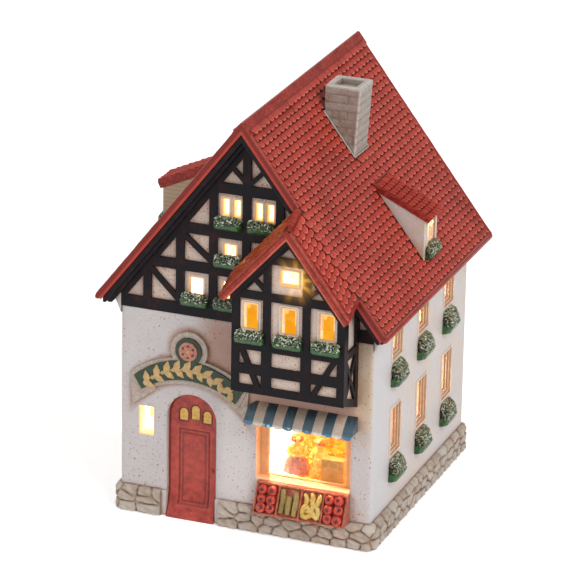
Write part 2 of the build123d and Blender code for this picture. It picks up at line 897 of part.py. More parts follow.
# Chimney, bedded on the right-hand slope
with BuildPart() as chimney:
    with BuildSketch(facing_front(mid_y + chimney_y + chimney_d / 2)):
        near = chimney_x - chimney_w / 2
        far = chimney_x + chimney_w / 2
        foot = far - chimney_taper
        Polygon((near, outer_z(near)), (foot, outer_z(foot)), (far, chimney_z), (near, chimney_z))
    extrude(amount=chimney_d)
    with BuildSketch(Plane.XY.offset(chimney_z)):
        with Locations((chimney_x, mid_y + chimney_y)):
            Rectangle(flue_w, flue_d)
    extrude(amount=-flue_depth, mode=Mode.SUBTRACT)


# Bay: a front panel and two sides on a sloping base, faced with timbers
def bay_outline(half, mode=Mode.ADD):
    """The bay's front, taller than it ends up: the bay roof's underside trims it."""
    area((bay_x - half, bay_x + half), (bay_sill_z, outer_z(bay_x)), mode)


bay_columns = (-(bay_inner_post_x + bay_half) / 2, 0, (bay_inner_post_x + bay_half) / 2)
with BuildPart() as bay_front:
    with BuildSketch(facing_front(bay_panel_y + bay_wall_t)):
        bay_outline(bay_side_x)
        for x in bay_columns:
            area(
                (bay_x + x - bay_window_w / 2, bay_x + x + bay_window_w / 2),
                (bay_window_z, bay_window_z + bay_window_h), Mode.SUBTRACT,
            )
        area(
            (bay_x - bay_attic_w / 2, bay_x + bay_attic_w / 2), (bay_attic_z, bay_attic_z + bay_attic_h),
            Mode.SUBTRACT,
        )
    extrude(amount=bay_wall_t)
    add(bay_roof_space.part, mode=Mode.SUBTRACT)

# A pane in each of the bay's windows; the attic's is open
with BuildPart() as bay_panes:
    with BuildSketch(facing_front(bay_panel_y + bay_pane_set_back + bay_pane_t)):
        for x in bay_columns:
            area(
                (bay_x + x - bay_window_w / 2, bay_x + x + bay_window_w / 2),
                (bay_window_z, bay_window_z + bay_window_h),
            )
    extrude(amount=bay_pane_t)

with BuildPart() as bay_timbers:
    with BuildSketch(facing_front(bay_panel_y)):
        across = (bay_x - bay_half, bay_x + bay_half)
        for z, h in (
            (bay_sill_z, bay_beam_h), (bay_rail_z, bay_rail_h), (bay_mid_z, bay_beam_h),
            (bay_head_z, bay_beam_h), (bay_collar_z, bay_beam_h),
        ):
            area(across, (z, z + h))
        for side in (-1, 1):
            outer = bay_x + side * (bay_half - bay_post_w / 2)
            inner = bay_x + bay_inner_post_shift + side * bay_inner_post_x
            for middle in (inner, outer):
                area((middle - bay_post_w / 2, middle + bay_post_w / 2), (bay_sill_z, outer_z(bay_x)))
            area((inner - bay_low_post_w / 2, inner + bay_low_post_w / 2), (bay_sill_z, bay_mid_z))
            top = bay_under_z(0, bay_front_y) - bay_rafter_w
            bar((bay_x, top), (bay_x + side * bay_half, top - bay_fall(side * bay_half)), 2 * bay_rafter_w)
            foot = bay_brace_foot if side < 0 else bay_brace_right_foot
            bar(
                (bay_x + side * (bay_half - bay_brace_top), bay_mid_z + bay_beam_h / 2),
                (bay_x + side * (bay_half - foot), bay_sill_z + bay_beam_h / 2), brace_w,
            )
            half_way = (outer + inner) / 2
            bar((inner, bay_head_z + bay_beam_h), (half_way, bay_head_z + 3 * bay_beam_h), strut_w)
        bay_outline(bay_half, Mode.INTERSECT)
    extrude(amount=timber_t)
    add(bay_roof_space.part, mode=Mode.SUBTRACT)


def bay_side_outline(front):
    """The side of the bay from front: its foot slopes from the sill down to the wall."""
    Polygon(
        (front, bay_sill_z), (front_y, bay_foot_z), (front_y, outer_z(bay_x)), (front, outer_z(bay_x)),
    )


with BuildPart() as bay_sides:
    for side in (-1, 1):
        outer = bay_x + side * bay_side_x
        inner = outer - side * bay_wall_t
        with BuildSketch(facing_right(min(outer, inner))):
            bay_side_outline(bay_panel_y + bay_wall_t)
        extrude(amount=bay_wall_t)
    add(bay_roof_space.part, mode=Mode.SUBTRACT)
    add(main_roof_space.part, mode=Mode.SUBTRACT)

with BuildPart() as bay_side_timbers:
    front = bay_panel_y
    for side in (-1, 1):
        with BuildSketch(facing_right(min(bay_x + side * bay_side_x, bay_x + side * bay_half))):
            bar((front, bay_sill_z + bay_beam_h / 2), (front_y, bay_foot_z + bay_beam_h / 2), bay_beam_h)
            area((front, front_y), (bay_mid_z, bay_mid_z + bay_beam_h))
            area((front_y - bay_post_w, front_y), (bay_foot_z, outer_z(bay_x)))
            area((front, front + bay_post_w), (bay_sill_z, outer_z(bay_x)))
            bar((front, bay_sill_z), (front_y, bay_mid_z + bay_beam_h), strut_w)
            bar((front, bay_mid_z + bay_beam_h), (front_y, bay_foot_z), strut_w)
            with BuildSketch(facing_right(0), mode=Mode.PRIVATE) as side_face:
                bay_side_outline(front)
            add(side_face.sketch_local, mode=Mode.INTERSECT)
        extrude(amount=timber_t)
    add(bay_roof_space.part, mode=Mode.SUBTRACT)
    add(main_roof_space.part, mode=Mode.SUBTRACT)

with BuildPart() as bay_base:
    front = bay_panel_y + bay_wall_t
    inner = bay_side_x - bay_wall_t
    with BuildSketch(facing_right(bay_x - inner)):
        Polygon(
            (front, bay_sill_z), (front_y, bay_foot_z), (front_y, bay_foot_z + bay_base_t),
            (front, bay_sill_z + bay_base_t),
        )
    extrude(amount=2 * inner)

with BuildPart() as bay_flower_boxes:
    for x in bay_columns:
        plane = out_from_front(bay_x + x, bay_front_y, bay_mid_z + bay_beam_h - small_box_lap)
        planted_box(plane, bay_box_w, small_box_h, small_box_d, small_bloom_h)

# Bay roof: both slabs climb to the main verge. The right one runs on into the main slope,
# and the left one falls again under the main roof, to the gable
def bay_slab_outline(reach, pitch, rise):
    """The end of one slab of the bay's roof, square at the eave, lifted by rise."""
    angle = radians(pitch)
    square = bay_roof_rise * cos(angle)
    side = reach / abs(reach)
    eave = bay_ridge_z - bay_fall(reach) + rise
    return (
        (bay_x, bay_ridge_z + rise), (bay_x + reach, eave),
        (bay_x + reach - side * square * sin(angle), eave - square * cos(angle)),
        (bay_x, bay_ridge_z - bay_roof_rise + rise),
    )


def bay_notches(reach, pitch, run):
    """Cuts the courses of one slab of the bay's roof, behind its verge."""
    side = reach / abs(reach)
    length = abs(reach) / cos(radians(pitch))
    lift = tile_verge_w * bay_climb
    for outline in course_notches(0, bay_ridge_z + lift, pitch, tile_verge_w, length - tile_eave_w):
        placed = [(bay_x + side * x, z) for x, z in outline]
        bay_prism(placed, bay_verge_y + tile_verge_w, run - tile_verge_w, bay_climb, Mode.SUBTRACT)


with BuildPart() as bay_roof_right:
    bay_prism(bay_slab_outline(bay_right_reach, roof_pitch, 0), bay_verge_y, bay_run, bay_climb)
    bay_notches(bay_right_reach, roof_pitch, bay_run)

with BuildPart() as bay_roof_left:
    lifted = bay_slab_outline(-bay_left_reach, bay_left_pitch, bay_run * bay_climb)
    bay_prism(lifted, verge_front_y, verge_reach, -bay_climb)
    add(main_roof_space.part, mode=Mode.SUBTRACT)
    bay_prism(bay_slab_outline(-bay_left_reach, bay_left_pitch, 0), bay_verge_y, bay_run, bay_climb)
    bay_notches(-bay_left_reach, bay_left_pitch, bay_run)

with BuildPart() as bay_barge_board:
    top = bay_under_z(0, bay_verge_y + bay_barge_set_back)
    drop = bay_barge_t / cos(radians(roof_pitch))
    left = top - bay_fall(-bay_half)
    right = top - bay_fall(bay_half)
    bay_prism(
        (
            (bay_x, top), (bay_x - bay_half, left), (bay_x - bay_half, left - drop), (bay_x, top - drop),
            (bay_x + bay_half, right - drop), (bay_x + bay_half, right),
        ),
        bay_verge_y + bay_barge_set_back, bay_verge_reach - bay_barge_set_back, bay_climb,
    )

# Trimming volume: the bay's body, up into its roof
with BuildPart() as bay_body:
    with BuildSketch(facing_front(front_y)):
        side = bay_half + round_gap
        Polygon(
            (bay_x - side, bay_foot_z), (bay_x + side, bay_foot_z),
            (bay_x + side, bay_under_z(side, verge_front_y)), (bay_x, bay_under_z(0, verge_front_y)),
            (bay_x - side, bay_under_z(-side, verge_front_y)),
        )
    extrude(amount=bay_depth)

# Planted boxes under the gable's windows, cut short where the bay or its roof passes
with BuildPart() as gable_flower_boxes:
    rows = [(column, 0) for column in low_columns]
    rows += [(column, 1) for column in mid_columns]
    rows += [(column, 2) for column in twin_columns]
    for column, row in rows:
        x = column * post_step + small_box_shift
        plane = out_from_front(x, front_y, cell_floor_z[row] - small_box_lap)
        planted_box(plane, small_box_w, small_box_h, small_box_d, small_bloom_h)
    add(bay_roof_left.part, mode=Mode.SUBTRACT)
    add(bay_body.part, mode=Mode.SUBTRACT)

# Door leaf: a plate behind the arch and a plug within it, with a flared foot, a grooved
# panel, three lights and a knob
door_face_y = front_y + door_set_back
door_plug_w = door_w - 2 * round_gap
with BuildPart() as door_leaf:
    with BuildSketch(facing_front(inner_front_y + door_t)) as plate:
        arch(door_x, door_w + 2 * door_lap, door_spring_z, 0)
    extrude(plate.sketch, amount=door_t)
    with BuildSketch(facing_front(inner_front_y)) as plug:
        arch(door_x, door_plug_w, door_spring_z, 0)
    extrude(plug.sketch, amount=inner_front_y - door_face_y)
    with BuildSketch(facing_right(door_x - door_plug_w / 2)) as flare:
        flare_r = (door_flare_h**2 + door_flare**2) / (2 * door_flare)
        turn = asin(door_flare_h / flare_r) / 2
        with BuildLine():
            ThreePointArc(
                (door_face_y, door_flare_h),
                (door_face_y - flare_r * (1 - cos(turn)), door_flare_h - flare_r * sin(turn)),
                (door_face_y - door_flare, 0),
            )
            Polyline((door_face_y - door_flare, 0), (door_face_y, 0), (door_face_y, door_flare_h))
        make_face()
    extrude(flare.sketch, amount=door_plug_w)
    with BuildSketch(facing_front(door_face_y)) as lines:
        middle = door_x + door_panel_x
        for step in (0, door_panel_step):
            w = door_panel_w - 2 * step
            z = (door_panel_z + step, door_panel_z + door_panel_h - step)
            area((middle - w / 2, middle + w / 2), z)
            w -= 2 * door_line_w
            area(
                (middle - w / 2, middle + w / 2), (z[0] + door_line_w, z[1] - door_line_w), Mode.SUBTRACT
            )
    extrude(lines.sketch, amount=door_line_t)

with BuildPart() as door_lights:
    with BuildSketch(facing_front(door_face_y)):
        for step, rise in ((-1, 0), (0, door_light_rise), (1, 0)):
            spring = door_light_z + door_light_h - door_light_w / 2 + rise
            arch(door_x + door_light_x + step * door_light_pitch, door_light_w, spring, door_light_z)
    extrude(amount=door_light_t)

with BuildPart(facing_front(door_face_y)) as door_knob:
    with Locations((door_x + knob_x, knob_z)):
        dome(knob_r)

# Shop window frame, with its centre left open
with BuildPart() as shop_window_frame:
    with BuildSketch(facing_front(front_y + shop_bar_set_back + shop_bar_t)):
        area((shop_x - shop_w / 2, shop_x + shop_w / 2), (shop_z, shop_z + shop_h))
        area(
            (shop_x - shop_w / 2 + shop_bar_w, shop_x + shop_w / 2 - shop_bar_w),
            (shop_z + shop_bar_w, shop_z + shop_h - shop_bar_w), Mode.SUBTRACT,
        )
    extrude(amount=shop_bar_t)

# Awning: a wedge on the wall with a scalloped edge
with BuildPart() as awning:
    with BuildSketch(facing_right(awning_x - awning_w / 2)):
        Polygon(
            (front_y, awning_z), (front_y, awning_z - awning_back_h),
            (front_y - awning_reach + scallop_t, awning_z - awning_drop),
            (front_y - awning_reach, awning_z - awning_drop),
        )
    extrude(amount=awning_w)
    with BuildSketch(facing_front(front_y - awning_reach + scallop_t)):
        stripe_w = awning_w / stripe_count
        for i in range(stripe_count):
            with Locations((awning_x + (i - (stripe_count - 1) / 2) * stripe_w, awning_z - awning_drop)):
                Ellipse(stripe_w / 2, scallop_drop)
        area(
            (awning_x - awning_w / 2, awning_x + awning_w / 2),
            (awning_z - awning_drop, awning_z), Mode.SUBTRACT,
        )
    extrude(amount=scallop_t)

# Produce tray: a sloping display with pockets, and what lies in them
tray_foot_y = front_y - tray_foot_reach
tray_lip_y = front_y - tray_top_reach
tray_slope_l = hypot(tray_lip_y - tray_foot_y, shop_z - plinth_h)
tray_face = Plane(
    (tray_x, (tray_foot_y + tray_lip_y) / 2, (plinth_h + shop_z) / 2), x_dir=(1, 0, 0),
    z_dir=(0, plinth_h - shop_z, tray_lip_y - tray_foot_y),
)
tray_floor = tray_face.offset(-tray_pocket_t)
pocket_w = (tray_w - (crate_count + 1) * tray_rim) / crate_count
pocket_x = [(i - (crate_count - 1) / 2) * (pocket_w + tray_rim) for i in range(crate_count)]
with BuildPart() as produce_tray:
    with BuildSketch(facing_right(tray_x - tray_w / 2)):
        Polygon(
            (front_y, plinth_h), (front_y, shop_z), (tray_lip_y, shop_z), (tray_foot_y, plinth_h),
        )
    extrude(amount=tray_w)
    with BuildSketch(tray_face):
        for x in pocket_x:
            with Locations((x, 0)):
                Rectangle(pocket_w, tray_slope_l - 2 * tray_rim)
    extrude(amount=-tray_pocket_t, mode=Mode.SUBTRACT)

with BuildPart(tray_floor) as apples:
    for x in (pocket_x[0], pocket_x[-1]):
        with Locations((x, 0)):
            with GridLocations(apple_pitch_x, apple_pitch_y, apple_columns, apple_rows):
                dome(apple_r)

with BuildPart() as cucumbers:
    with BuildSketch(tray_floor):
        for i in range(cucumber_count):
            x = pocket_x[1] + (i - (cucumber_count - 1) / 2) * pocket_w / cucumber_count
            with Locations((x, 0)):
                SlotOverall(cucumber_l, cucumber_w, rotation=90)
    extrude(amount=cucumber_t)

with BuildPart() as bananas:
    with BuildSketch(tray_floor):
        for i in range(banana_count):
            x = pocket_x[2] + (i - (banana_count - 1) / 2) * pocket_w / banana_count
            with Locations((x, 0)):
                SlotOverall(banana_l, banana_w, rotation=90)
    extrude(amount=banana_t)


# Sign over the door: a ribbon bent over it, with a disc above
def ribbon(border):
    """The ribbon's outline, grown by border."""
    end = sign_ribbon_w / 2 + border
    foot = sign_ribbon_foot_w / 2 + border / 2
    end_z = sign_ribbon_end_z + border / 2
    foot_z = sign_ribbon_foot_z - border
    crown = end_z + sign_ribbon_rise
    with BuildLine() as outline:
        ThreePointArc((sign_x - end, end_z), (sign_x, crown), (sign_x + end, end_z))
        Line((sign_x + end, end_z), (sign_x + foot, foot_z))
        ThreePointArc(
            (sign_x + foot, foot_z), (sign_x, crown - sign_ribbon_h - border * 3 / 2), (sign_x - foot, foot_z)
        )
        Line((sign_x - foot, foot_z), (sign_x - end, end_z))
    make_face(outline.edges())


def ribbon_tails():
    """The two folded ends that hang behind the ribbon."""
    foot = sign_ribbon_foot_w / 2
    end = sign_ribbon_w / 2
    for side in (-1, 1):
        Polygon(
            (sign_x + side * (end + sign_border), sign_ribbon_end_z),
            (sign_x + side * (foot + tail_l - tail_in), sign_ribbon_foot_z - tail_drop),
            (sign_x + side * (foot - tail_in), sign_ribbon_foot_z),
            (sign_x + side * (foot - tail_in), sign_ribbon_end_z),
        )


with BuildPart() as sign_limit:
    block(
        (bay_x - bay_half - round_gap, bay_x + bay_half), (bay_verge_y, front_y),
        (bay_foot_z - round_gap, outer_z(bay_x)),
    )
    block(
        (awning_x - awning_w / 2 - round_gap, awning_x + awning_w / 2), (bay_verge_y, front_y),
        (0, awning_z + round_gap),
    )

with BuildPart() as sign_board:
    with BuildSketch(facing_front(front_y)):
        ribbon(sign_border)
        with Locations((sign_x, sign_ring_z)):
            Circle(sign_ring_r)
    extrude(amount=sign_board_t)
    with BuildSketch(facing_front(front_y)):
        ribbon_tails()
    extrude(amount=tail_t)
    add(sign_limit.part, mode=Mode.SUBTRACT)

sign_face_y = front_y - sign_board_t
with BuildPart() as sign_panel:
    with BuildSketch(facing_front(sign_face_y)):
        ribbon(0)
        with Locations((sign_x, sign_ring_z)):
            Circle(sign_disc_r)
    extrude(amount=sign_panel_t)
    add(sign_limit.part, mode=Mode.SUBTRACT)

ornament_y = sign_face_y - sign_panel_t
with BuildPart() as sign_roundel:
    with BuildSketch(facing_front(ornament_y)):
        with Locations((sign_x, sign_ring_z)):
            Circle(roundel_r)
    extrude(amount=roundel_t)

# A plain garland of leaves and berries along the ribbon's middle line
with BuildPart() as sign_garland:
    with BuildSketch(facing_front(ornament_y)):
        for i in range(leaf_count):
            t = 2 * i / (leaf_count - 1) - 1
            x = sign_x + t * (sign_ribbon_foot_w / 2 - leaf_l)
            z = sign_ribbon_foot_z + sign_ribbon_h / 2 + (1 - t * t) * (sign_ribbon_rise - sign_ribbon_h / 4)
            with Locations((x, z)):
                Ellipse(leaf_l / 2, leaf_w / 2, rotation=-t * roof_pitch / 2)
            if i < leaf_count - 1:
                step = (sign_ribbon_foot_w - 2 * leaf_l) / (leaf_count - 1)
                with Locations((x + step / 2, z - leaf_w / 2)):
                    Circle(berry_r)
    extrude(amount=ornament_t)

# Shop interior: a floor with a back wall behind the window, a counter and two plain figures
with BuildPart() as shop_floor:
    floor_rear_y = inner_front_y + floor_d
    block((floor_x, inner_half_w), (inner_front_y, floor_rear_y), (shop_z - floor_t, shop_z))
    block(
        (back_wall_x, inner_half_w), (floor_rear_y - back_wall_t, floor_rear_y),
        (shop_z, shop_z + back_wall_h),
    )

with BuildPart() as counter:
    block(
        (counter_x - counter_w / 2, counter_x + counter_w / 2),
        (inner_front_y + counter_set_back - counter_d / 2, inner_front_y + counter_set_back + counter_d / 2),
        (shop_z, shop_z + counter_h),
    )


def figure(x, y, skirt_r):
    """A plain standing figure: a long skirt or coat, and a round head."""
    with Locations((x, y, shop_z)):
        Cone(skirt_r, figure_waist_r, figure_body_h, align=(Align.CENTER, Align.CENTER, Align.MIN))
    with Locations((x, y, shop_z + figure_body_h + figure_head_r * figure_neck_share)):
        Sphere(figure_head_r)


with BuildPart() as customer_figure:
    figure(customer_x, inner_front_y + figure_set_back, customer_skirt_r)

with BuildPart() as shopkeeper_figure:
    figure(shopkeeper_x, inner_front_y + figure_set_back, shopkeeper_skirt_r)

# Lamp: a collar that fits the rear hole, with a flange, springs, cap and socket
collar_r = lamp_hole_r - running_gap
collar_bore_r = collar_r - collar_wall
socket_r = collar_bore_r - round_gap
socket_bore_r = socket_r - socket_wall
shell_r = socket_bore_r - round_gap
shell_bore_r = shell_r - shell_wall
flange_rear_y = rear_y + flange_t
socket_floor_y = flange_rear_y - socket_floor_t


def on_lamp_axis(y):
    """A plane across the lamp's axis at y: extrusion runs forward, into the house."""
    return Plane((0, y, lamp_z), x_dir=(1, 0, 0), z_dir=(0, -1, 0))


def round_bar(y, length, r):
    """A cylinder on the lamp's axis from y forward."""
    with BuildSketch(on_lamp_axis(y)) as profile:
        Circle(r)
    extrude(profile.sketch, amount=length)


def tube(y, length, r, bore):
    """A tube on the lamp's axis from y forward."""
    with BuildSketch(on_lamp_axis(y)) as profile:
        Circle(r)
        Circle(bore, mode=Mode.SUBTRACT)
    extrude(profile.sketch, amount=length)


clip_slot_y = (rear_y - collar_l + clip_slot_end, rear_y - rear_wall_t - clip_slot_end)
with BuildPart() as lamp_collar:
    tube(flange_rear_y, flange_t, flange_r, collar_bore_r)
    tube(rear_y, collar_l, collar_r, collar_bore_r)
    block(
        (-flange_r, flange_r), clip_slot_y, (lamp_z - clip_slot_w / 2, lamp_z + clip_slot_w / 2),
        Mode.SUBTRACT,
    )

with BuildPart() as spring_clips:
    clip_x = (collar_r + collar_bore_r) / 2
    block(
        (clip_x - clip_t / 2, clip_x + clip_t / 2), (clip_slot_y[0], clip_slot_y[1]),
        (lamp_z - clip_w / 2, lamp_z + clip_w / 2),
    )
    mirror(about=Plane.YZ)

with BuildPart() as lamp_rear_cap:
    round_bar(flange_rear_y + cap_t, cap_t, cap_r)
    round_bar(flange_rear_y + cap_t + inlet_l, inlet_l, inlet_r)
    with BuildSketch(on_lamp_axis(flange_rear_y + cap_t + inlet_l)):
        Circle(inlet_bore_r)
    extrude(amount=cap_t + inlet_l, mode=Mode.SUBTRACT)

with BuildPart() as lamp_socket:
    round_bar(flange_rear_y, socket_floor_t, socket_r)
    tube(socket_floor_y, socket_l - socket_floor_t, socket_r, socket_bore_r)

with BuildPart() as screw_shell:
    tube(socket_floor_y, shell_l, shell_r, shell_bore_r)

with BuildPart() as centre_contact:
    round_bar(socket_floor_y, contact_t, contact_r)

# Bulb: a screw cap in the shell, a thin glass envelope and a stem with its filament
bulb_cap_r = shell_bore_r - running_gap
bulb_rear_y = socket_floor_y - contact_t - bulb_gap
bulb_cap_y = bulb_rear_y - bulb_contact_t
bulb_rim_y = bulb_cap_y - bulb_cap_l
with BuildPart() as bulb_contact:
    round_bar(bulb_rear_y, bulb_contact_t, bulb_contact_r)

with BuildPart() as bulb_screw_cap:
    round_bar(bulb_cap_y, bulb_cap_end_t, bulb_cap_r)
    tube(bulb_cap_y - bulb_cap_end_t, bulb_cap_l - bulb_cap_end_t, bulb_cap_r, bulb_cap_r - bulb_cap_wall)


def bulb_profile(inset, rim_y):
    """Half the bulb's outline, drawn in by inset, from its rim to its tip."""
    belly_y = bulb_rim_y - bulb_belly_share * bulb_l
    tip_y = bulb_rim_y - bulb_l + inset
    neck = bulb_cap_r - inset
    return (
        (neck, rim_y), (bulb_r - inset, belly_y), (0, tip_y), (0, rim_y),
    )


with BuildPart() as bulb_glass:
    with BuildSketch(Plane((0, 0, lamp_z), x_dir=(1, 0, 0), z_dir=(0, 0, 1))):
        for inset, rim_y, mode in (
            (0, bulb_rim_y, Mode.ADD), (bulb_glass_t, bulb_rim_y, Mode.SUBTRACT),
        ):
            neck, belly, tip, end = bulb_profile(inset, rim_y)
            with BuildLine():
                Spline(neck, belly, tangents=((0, -1), (0, -1)))
                Spline(belly, tip, tangents=((0, -1), (-1, 0)))
                Line(tip, end)
                Line(end, neck)
            make_face(mode=mode)
    revolve(axis=Axis((0, 0, lamp_z), (0, 1, 0)))

with BuildPart() as bulb_stem:
    stem_y = bulb_cap_y - bulb_cap_end_t
    round_bar(stem_y, stem_l, stem_r)
    with BuildSketch(facing_right(-filament_w / 2)):
        with Locations((stem_y - stem_l, lamp_z)):
            Circle(filament_r)
    extrude(amount=filament_w)

# Finished pieces
pieces = {
    "plinth_front": plinth_front,
    "plinth_rear": plinth_rear,
    "plinth_sides": plinth_sides,
    "front_wall": front_wall,
    "right_wall": right_wall,
    "left_wall": left_wall,
    "rear_wall": rear_wall,
    "eave_coves": eave_coves,
    "front_gable": front_gable,
    "front_timbers": front_timbers,
    "rear_timbers": rear_timbers,
    "front_barge_board": front_barge_board,
    "rear_barge_board": rear_barge_board,
    "roof_right": roof_right,
    "roof_left": roof_left,
    "ridge_cap": ridge_cap,
    "chimney": chimney,
    "dormer_walls": dormer_wall_shells,
    "dormer_roofs": dormer_roofs,
    "dormer_flower_boxes": dormer_flower_boxes,
    "gable_flower_boxes": gable_flower_boxes,
    "side_window_frames": side_window_frames,
    "side_flower_boxes": side_flower_boxes,
    "bay_front": bay_front,
    "bay_panes": bay_panes,
    "bay_timbers": bay_timbers,
    "bay_sides": bay_sides,
    "bay_side_timbers": bay_side_timbers,
    "bay_base": bay_base,
    "bay_flower_boxes": bay_flower_boxes,
    "bay_roof_right": bay_roof_right,
    "bay_roof_left": bay_roof_left,
    "bay_barge_board": bay_barge_board,
    "door_leaf": door_leaf,
    "door_lights": door_lights,
    "door_knob": door_knob,
    "shop_window_frame": shop_window_frame,
    "awning": awning,
    "produce_tray": produce_tray,
    "apples": apples,
    "cucumbers": cucumbers,
    "bananas": bananas,
    "sign_board": sign_board,
    "sign_panel": sign_panel,
    "sign_roundel": sign_roundel,
    "sign_garland": sign_garland,
    "shop_floor": shop_floor,
    "counter": counter,
    "customer_figure": customer_figure,
    "shopkeeper_figure": shopkeeper_figure,
    "lamp_collar": lamp_collar,
    "spring_clips": spring_clips,
    "lamp_rear_cap": lamp_rear_cap,
    "lamp_socket": lamp_socket,
    "screw_shell": screw_shell,
    "centre_contact": centre_contact,
    "bulb_contact": bulb_contact,
    "bulb_screw_cap": bulb_screw_cap,
    "bulb_glass": bulb_glass,
    "bulb_stem": bulb_stem,
}
os.makedirs("parts", exist_ok=True)
for name, piece in pieces.items():
    piece.part.label = name
    export_step(piece.part, f"parts/{name}.step")
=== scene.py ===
import json
import random
from math import atan2, cos, exp, floor, hypot, pi, radians, sin, sqrt, tan

import bmesh
import bpy
import numpy as np
from mathutils import Matrix, Vector

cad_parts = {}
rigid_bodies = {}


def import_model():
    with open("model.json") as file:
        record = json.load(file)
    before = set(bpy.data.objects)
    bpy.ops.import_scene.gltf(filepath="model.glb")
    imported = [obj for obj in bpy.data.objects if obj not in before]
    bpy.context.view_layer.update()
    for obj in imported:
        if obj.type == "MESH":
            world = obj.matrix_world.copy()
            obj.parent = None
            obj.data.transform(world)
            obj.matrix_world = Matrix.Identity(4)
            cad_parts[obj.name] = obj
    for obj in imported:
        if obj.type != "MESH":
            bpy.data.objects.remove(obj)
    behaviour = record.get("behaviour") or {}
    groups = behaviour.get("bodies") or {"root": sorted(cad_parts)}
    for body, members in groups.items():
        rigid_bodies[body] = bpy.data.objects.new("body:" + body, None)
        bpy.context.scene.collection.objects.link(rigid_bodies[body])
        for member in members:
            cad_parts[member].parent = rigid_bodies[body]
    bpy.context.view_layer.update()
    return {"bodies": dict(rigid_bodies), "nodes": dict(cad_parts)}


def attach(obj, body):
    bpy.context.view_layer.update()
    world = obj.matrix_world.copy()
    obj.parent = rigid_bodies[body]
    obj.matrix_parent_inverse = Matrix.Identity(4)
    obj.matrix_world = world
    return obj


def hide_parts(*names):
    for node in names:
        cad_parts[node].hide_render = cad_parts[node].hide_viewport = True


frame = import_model()
nodes = frame["nodes"]
scene = bpy.context.scene
rng = random.Random(11)
MM = 0.001

# Sizes from the CAD source, in mm
half_w, mid_y, wall_top = 59.4, 6.4, 97.4
front_y, rear_y, inner_front_y, inner_rear_y = -56.6, 69.4, -50.6, 65
verge_front_y, verge_rear_y, eave_x = -65.8, 78.6, 67.6
pitch, dormer_pitch = radians(52.57), radians(25)
slope = tan(pitch)
course, course_t, course_lip, ridge_cap_half = 3.3, 0.7, 0.4, 4.2
bay_x, bay_half, bay_panel_y, bay_verge_y = 26.3, 26.1, -73.4, -78.6
bay_ridge_z, bay_left_pitch = 152.4, radians(48.2)
bay_columns = (-(9.1 + bay_half) / 2, 0, (9.1 + bay_half) / 2)
door_x, door_w, sign_x = -25.5, 23.4, -26.2
sign_half, sign_foot_z, sign_rise, sign_ring_z = 19.4, 64.6, 8.1, 81.4
shop_x, shop_sill_z, plinth_h = 27.5, 25.5, 12.2
chimney_y, chimney_half = mid_y + 6.9, 8.3
post_step = 15.444
beam_z = [wall_top + share * 90.22 for share in (0.230, 0.426, 0.655)]
star_x, star_z = 29.2, 128.6


def outer_z(x):
    """Height of the roof's outer plane."""
    return 110.01 + (half_w - abs(x)) * slope + 3 / cos(pitch)


bay_climb = (outer_z(bay_x) - bay_ridge_z) / (verge_front_y - bay_verge_y)

# Camera
back = Vector((0.32965, -0.87330, 0.35870))
flat = Vector((0.93556, 0.35315, 0))
lift = Vector((-0.12668, 0.33559, 0.93344))
camera_roll = radians(1.06)
right_axis = cos(camera_roll) * flat + sin(camera_roll) * lift
up_axis = cos(camera_roll) * lift - sin(camera_roll) * flat
camera = bpy.data.objects.new("camera", bpy.data.cameras.new("camera"))
scene.collection.objects.link(camera)
camera.data.sensor_width = 36
camera.data.lens = 246.15
camera.data.clip_start, camera.data.clip_end = 0.1, 20
turn = Matrix((right_axis, up_axis, back)).transposed().to_4x4()
camera.matrix_world = Matrix.Translation(Vector((0.59169, -1.56773, 0.73643))) @ turn
scene.camera = camera
scene.view_settings.view_transform = "Standard"


# Materials
def rgb(code):
    """A colour as it looks on a screen, as the linear values that Blender takes."""
    levels = [int(code[i:i + 2], 16) / 255 for i in (0, 2, 4)]
    return (*(c / 12.92 if c < 0.04045 else ((c + 0.055) / 1.055) ** 2.4 for c in levels), 1)


def math_node(kind):
    return lambda a, b=0: a.m.math(kind, a, b)


class Val:
    """A value in a material's nodes. Arithmetic on it adds Math nodes."""

    __add__, __sub__, __mul__, __truediv__ = map(math_node, ("ADD", "SUBTRACT", "MULTIPLY", "DIVIDE"))
    most, least, __abs__ = map(math_node, ("MAXIMUM", "MINIMUM", "ABSOLUTE"))

    def __init__(self, m, socket):
        self.m, self.socket = m, socket

    def __rsub__(self, a):
        return self.m.math("SUBTRACT", a, self)

    def ramp(self, low, high, to_low=0, to_high=1):
        """Goes smoothly from to_low at low to to_high at high."""
        ins = {"Value": self, "From Min": low, "From Max": high, "To Min": to_low, "To Max": to_high}
        return self.m.n("MapRange", ins, interpolation_type="SMOOTHSTEP")

    def fall(self, low, high):
        return self.ramp(low, high, 1, 0)

    def within(self, low, high, soft):
        """One between low and high, with soft ends."""
        return self.ramp(low - soft, low + soft) * self.fall(high - soft, high + soft)

    def twin(self, out):
        """Another output of the same node."""
        return Val(self.m, self.socket.node.outputs[out])


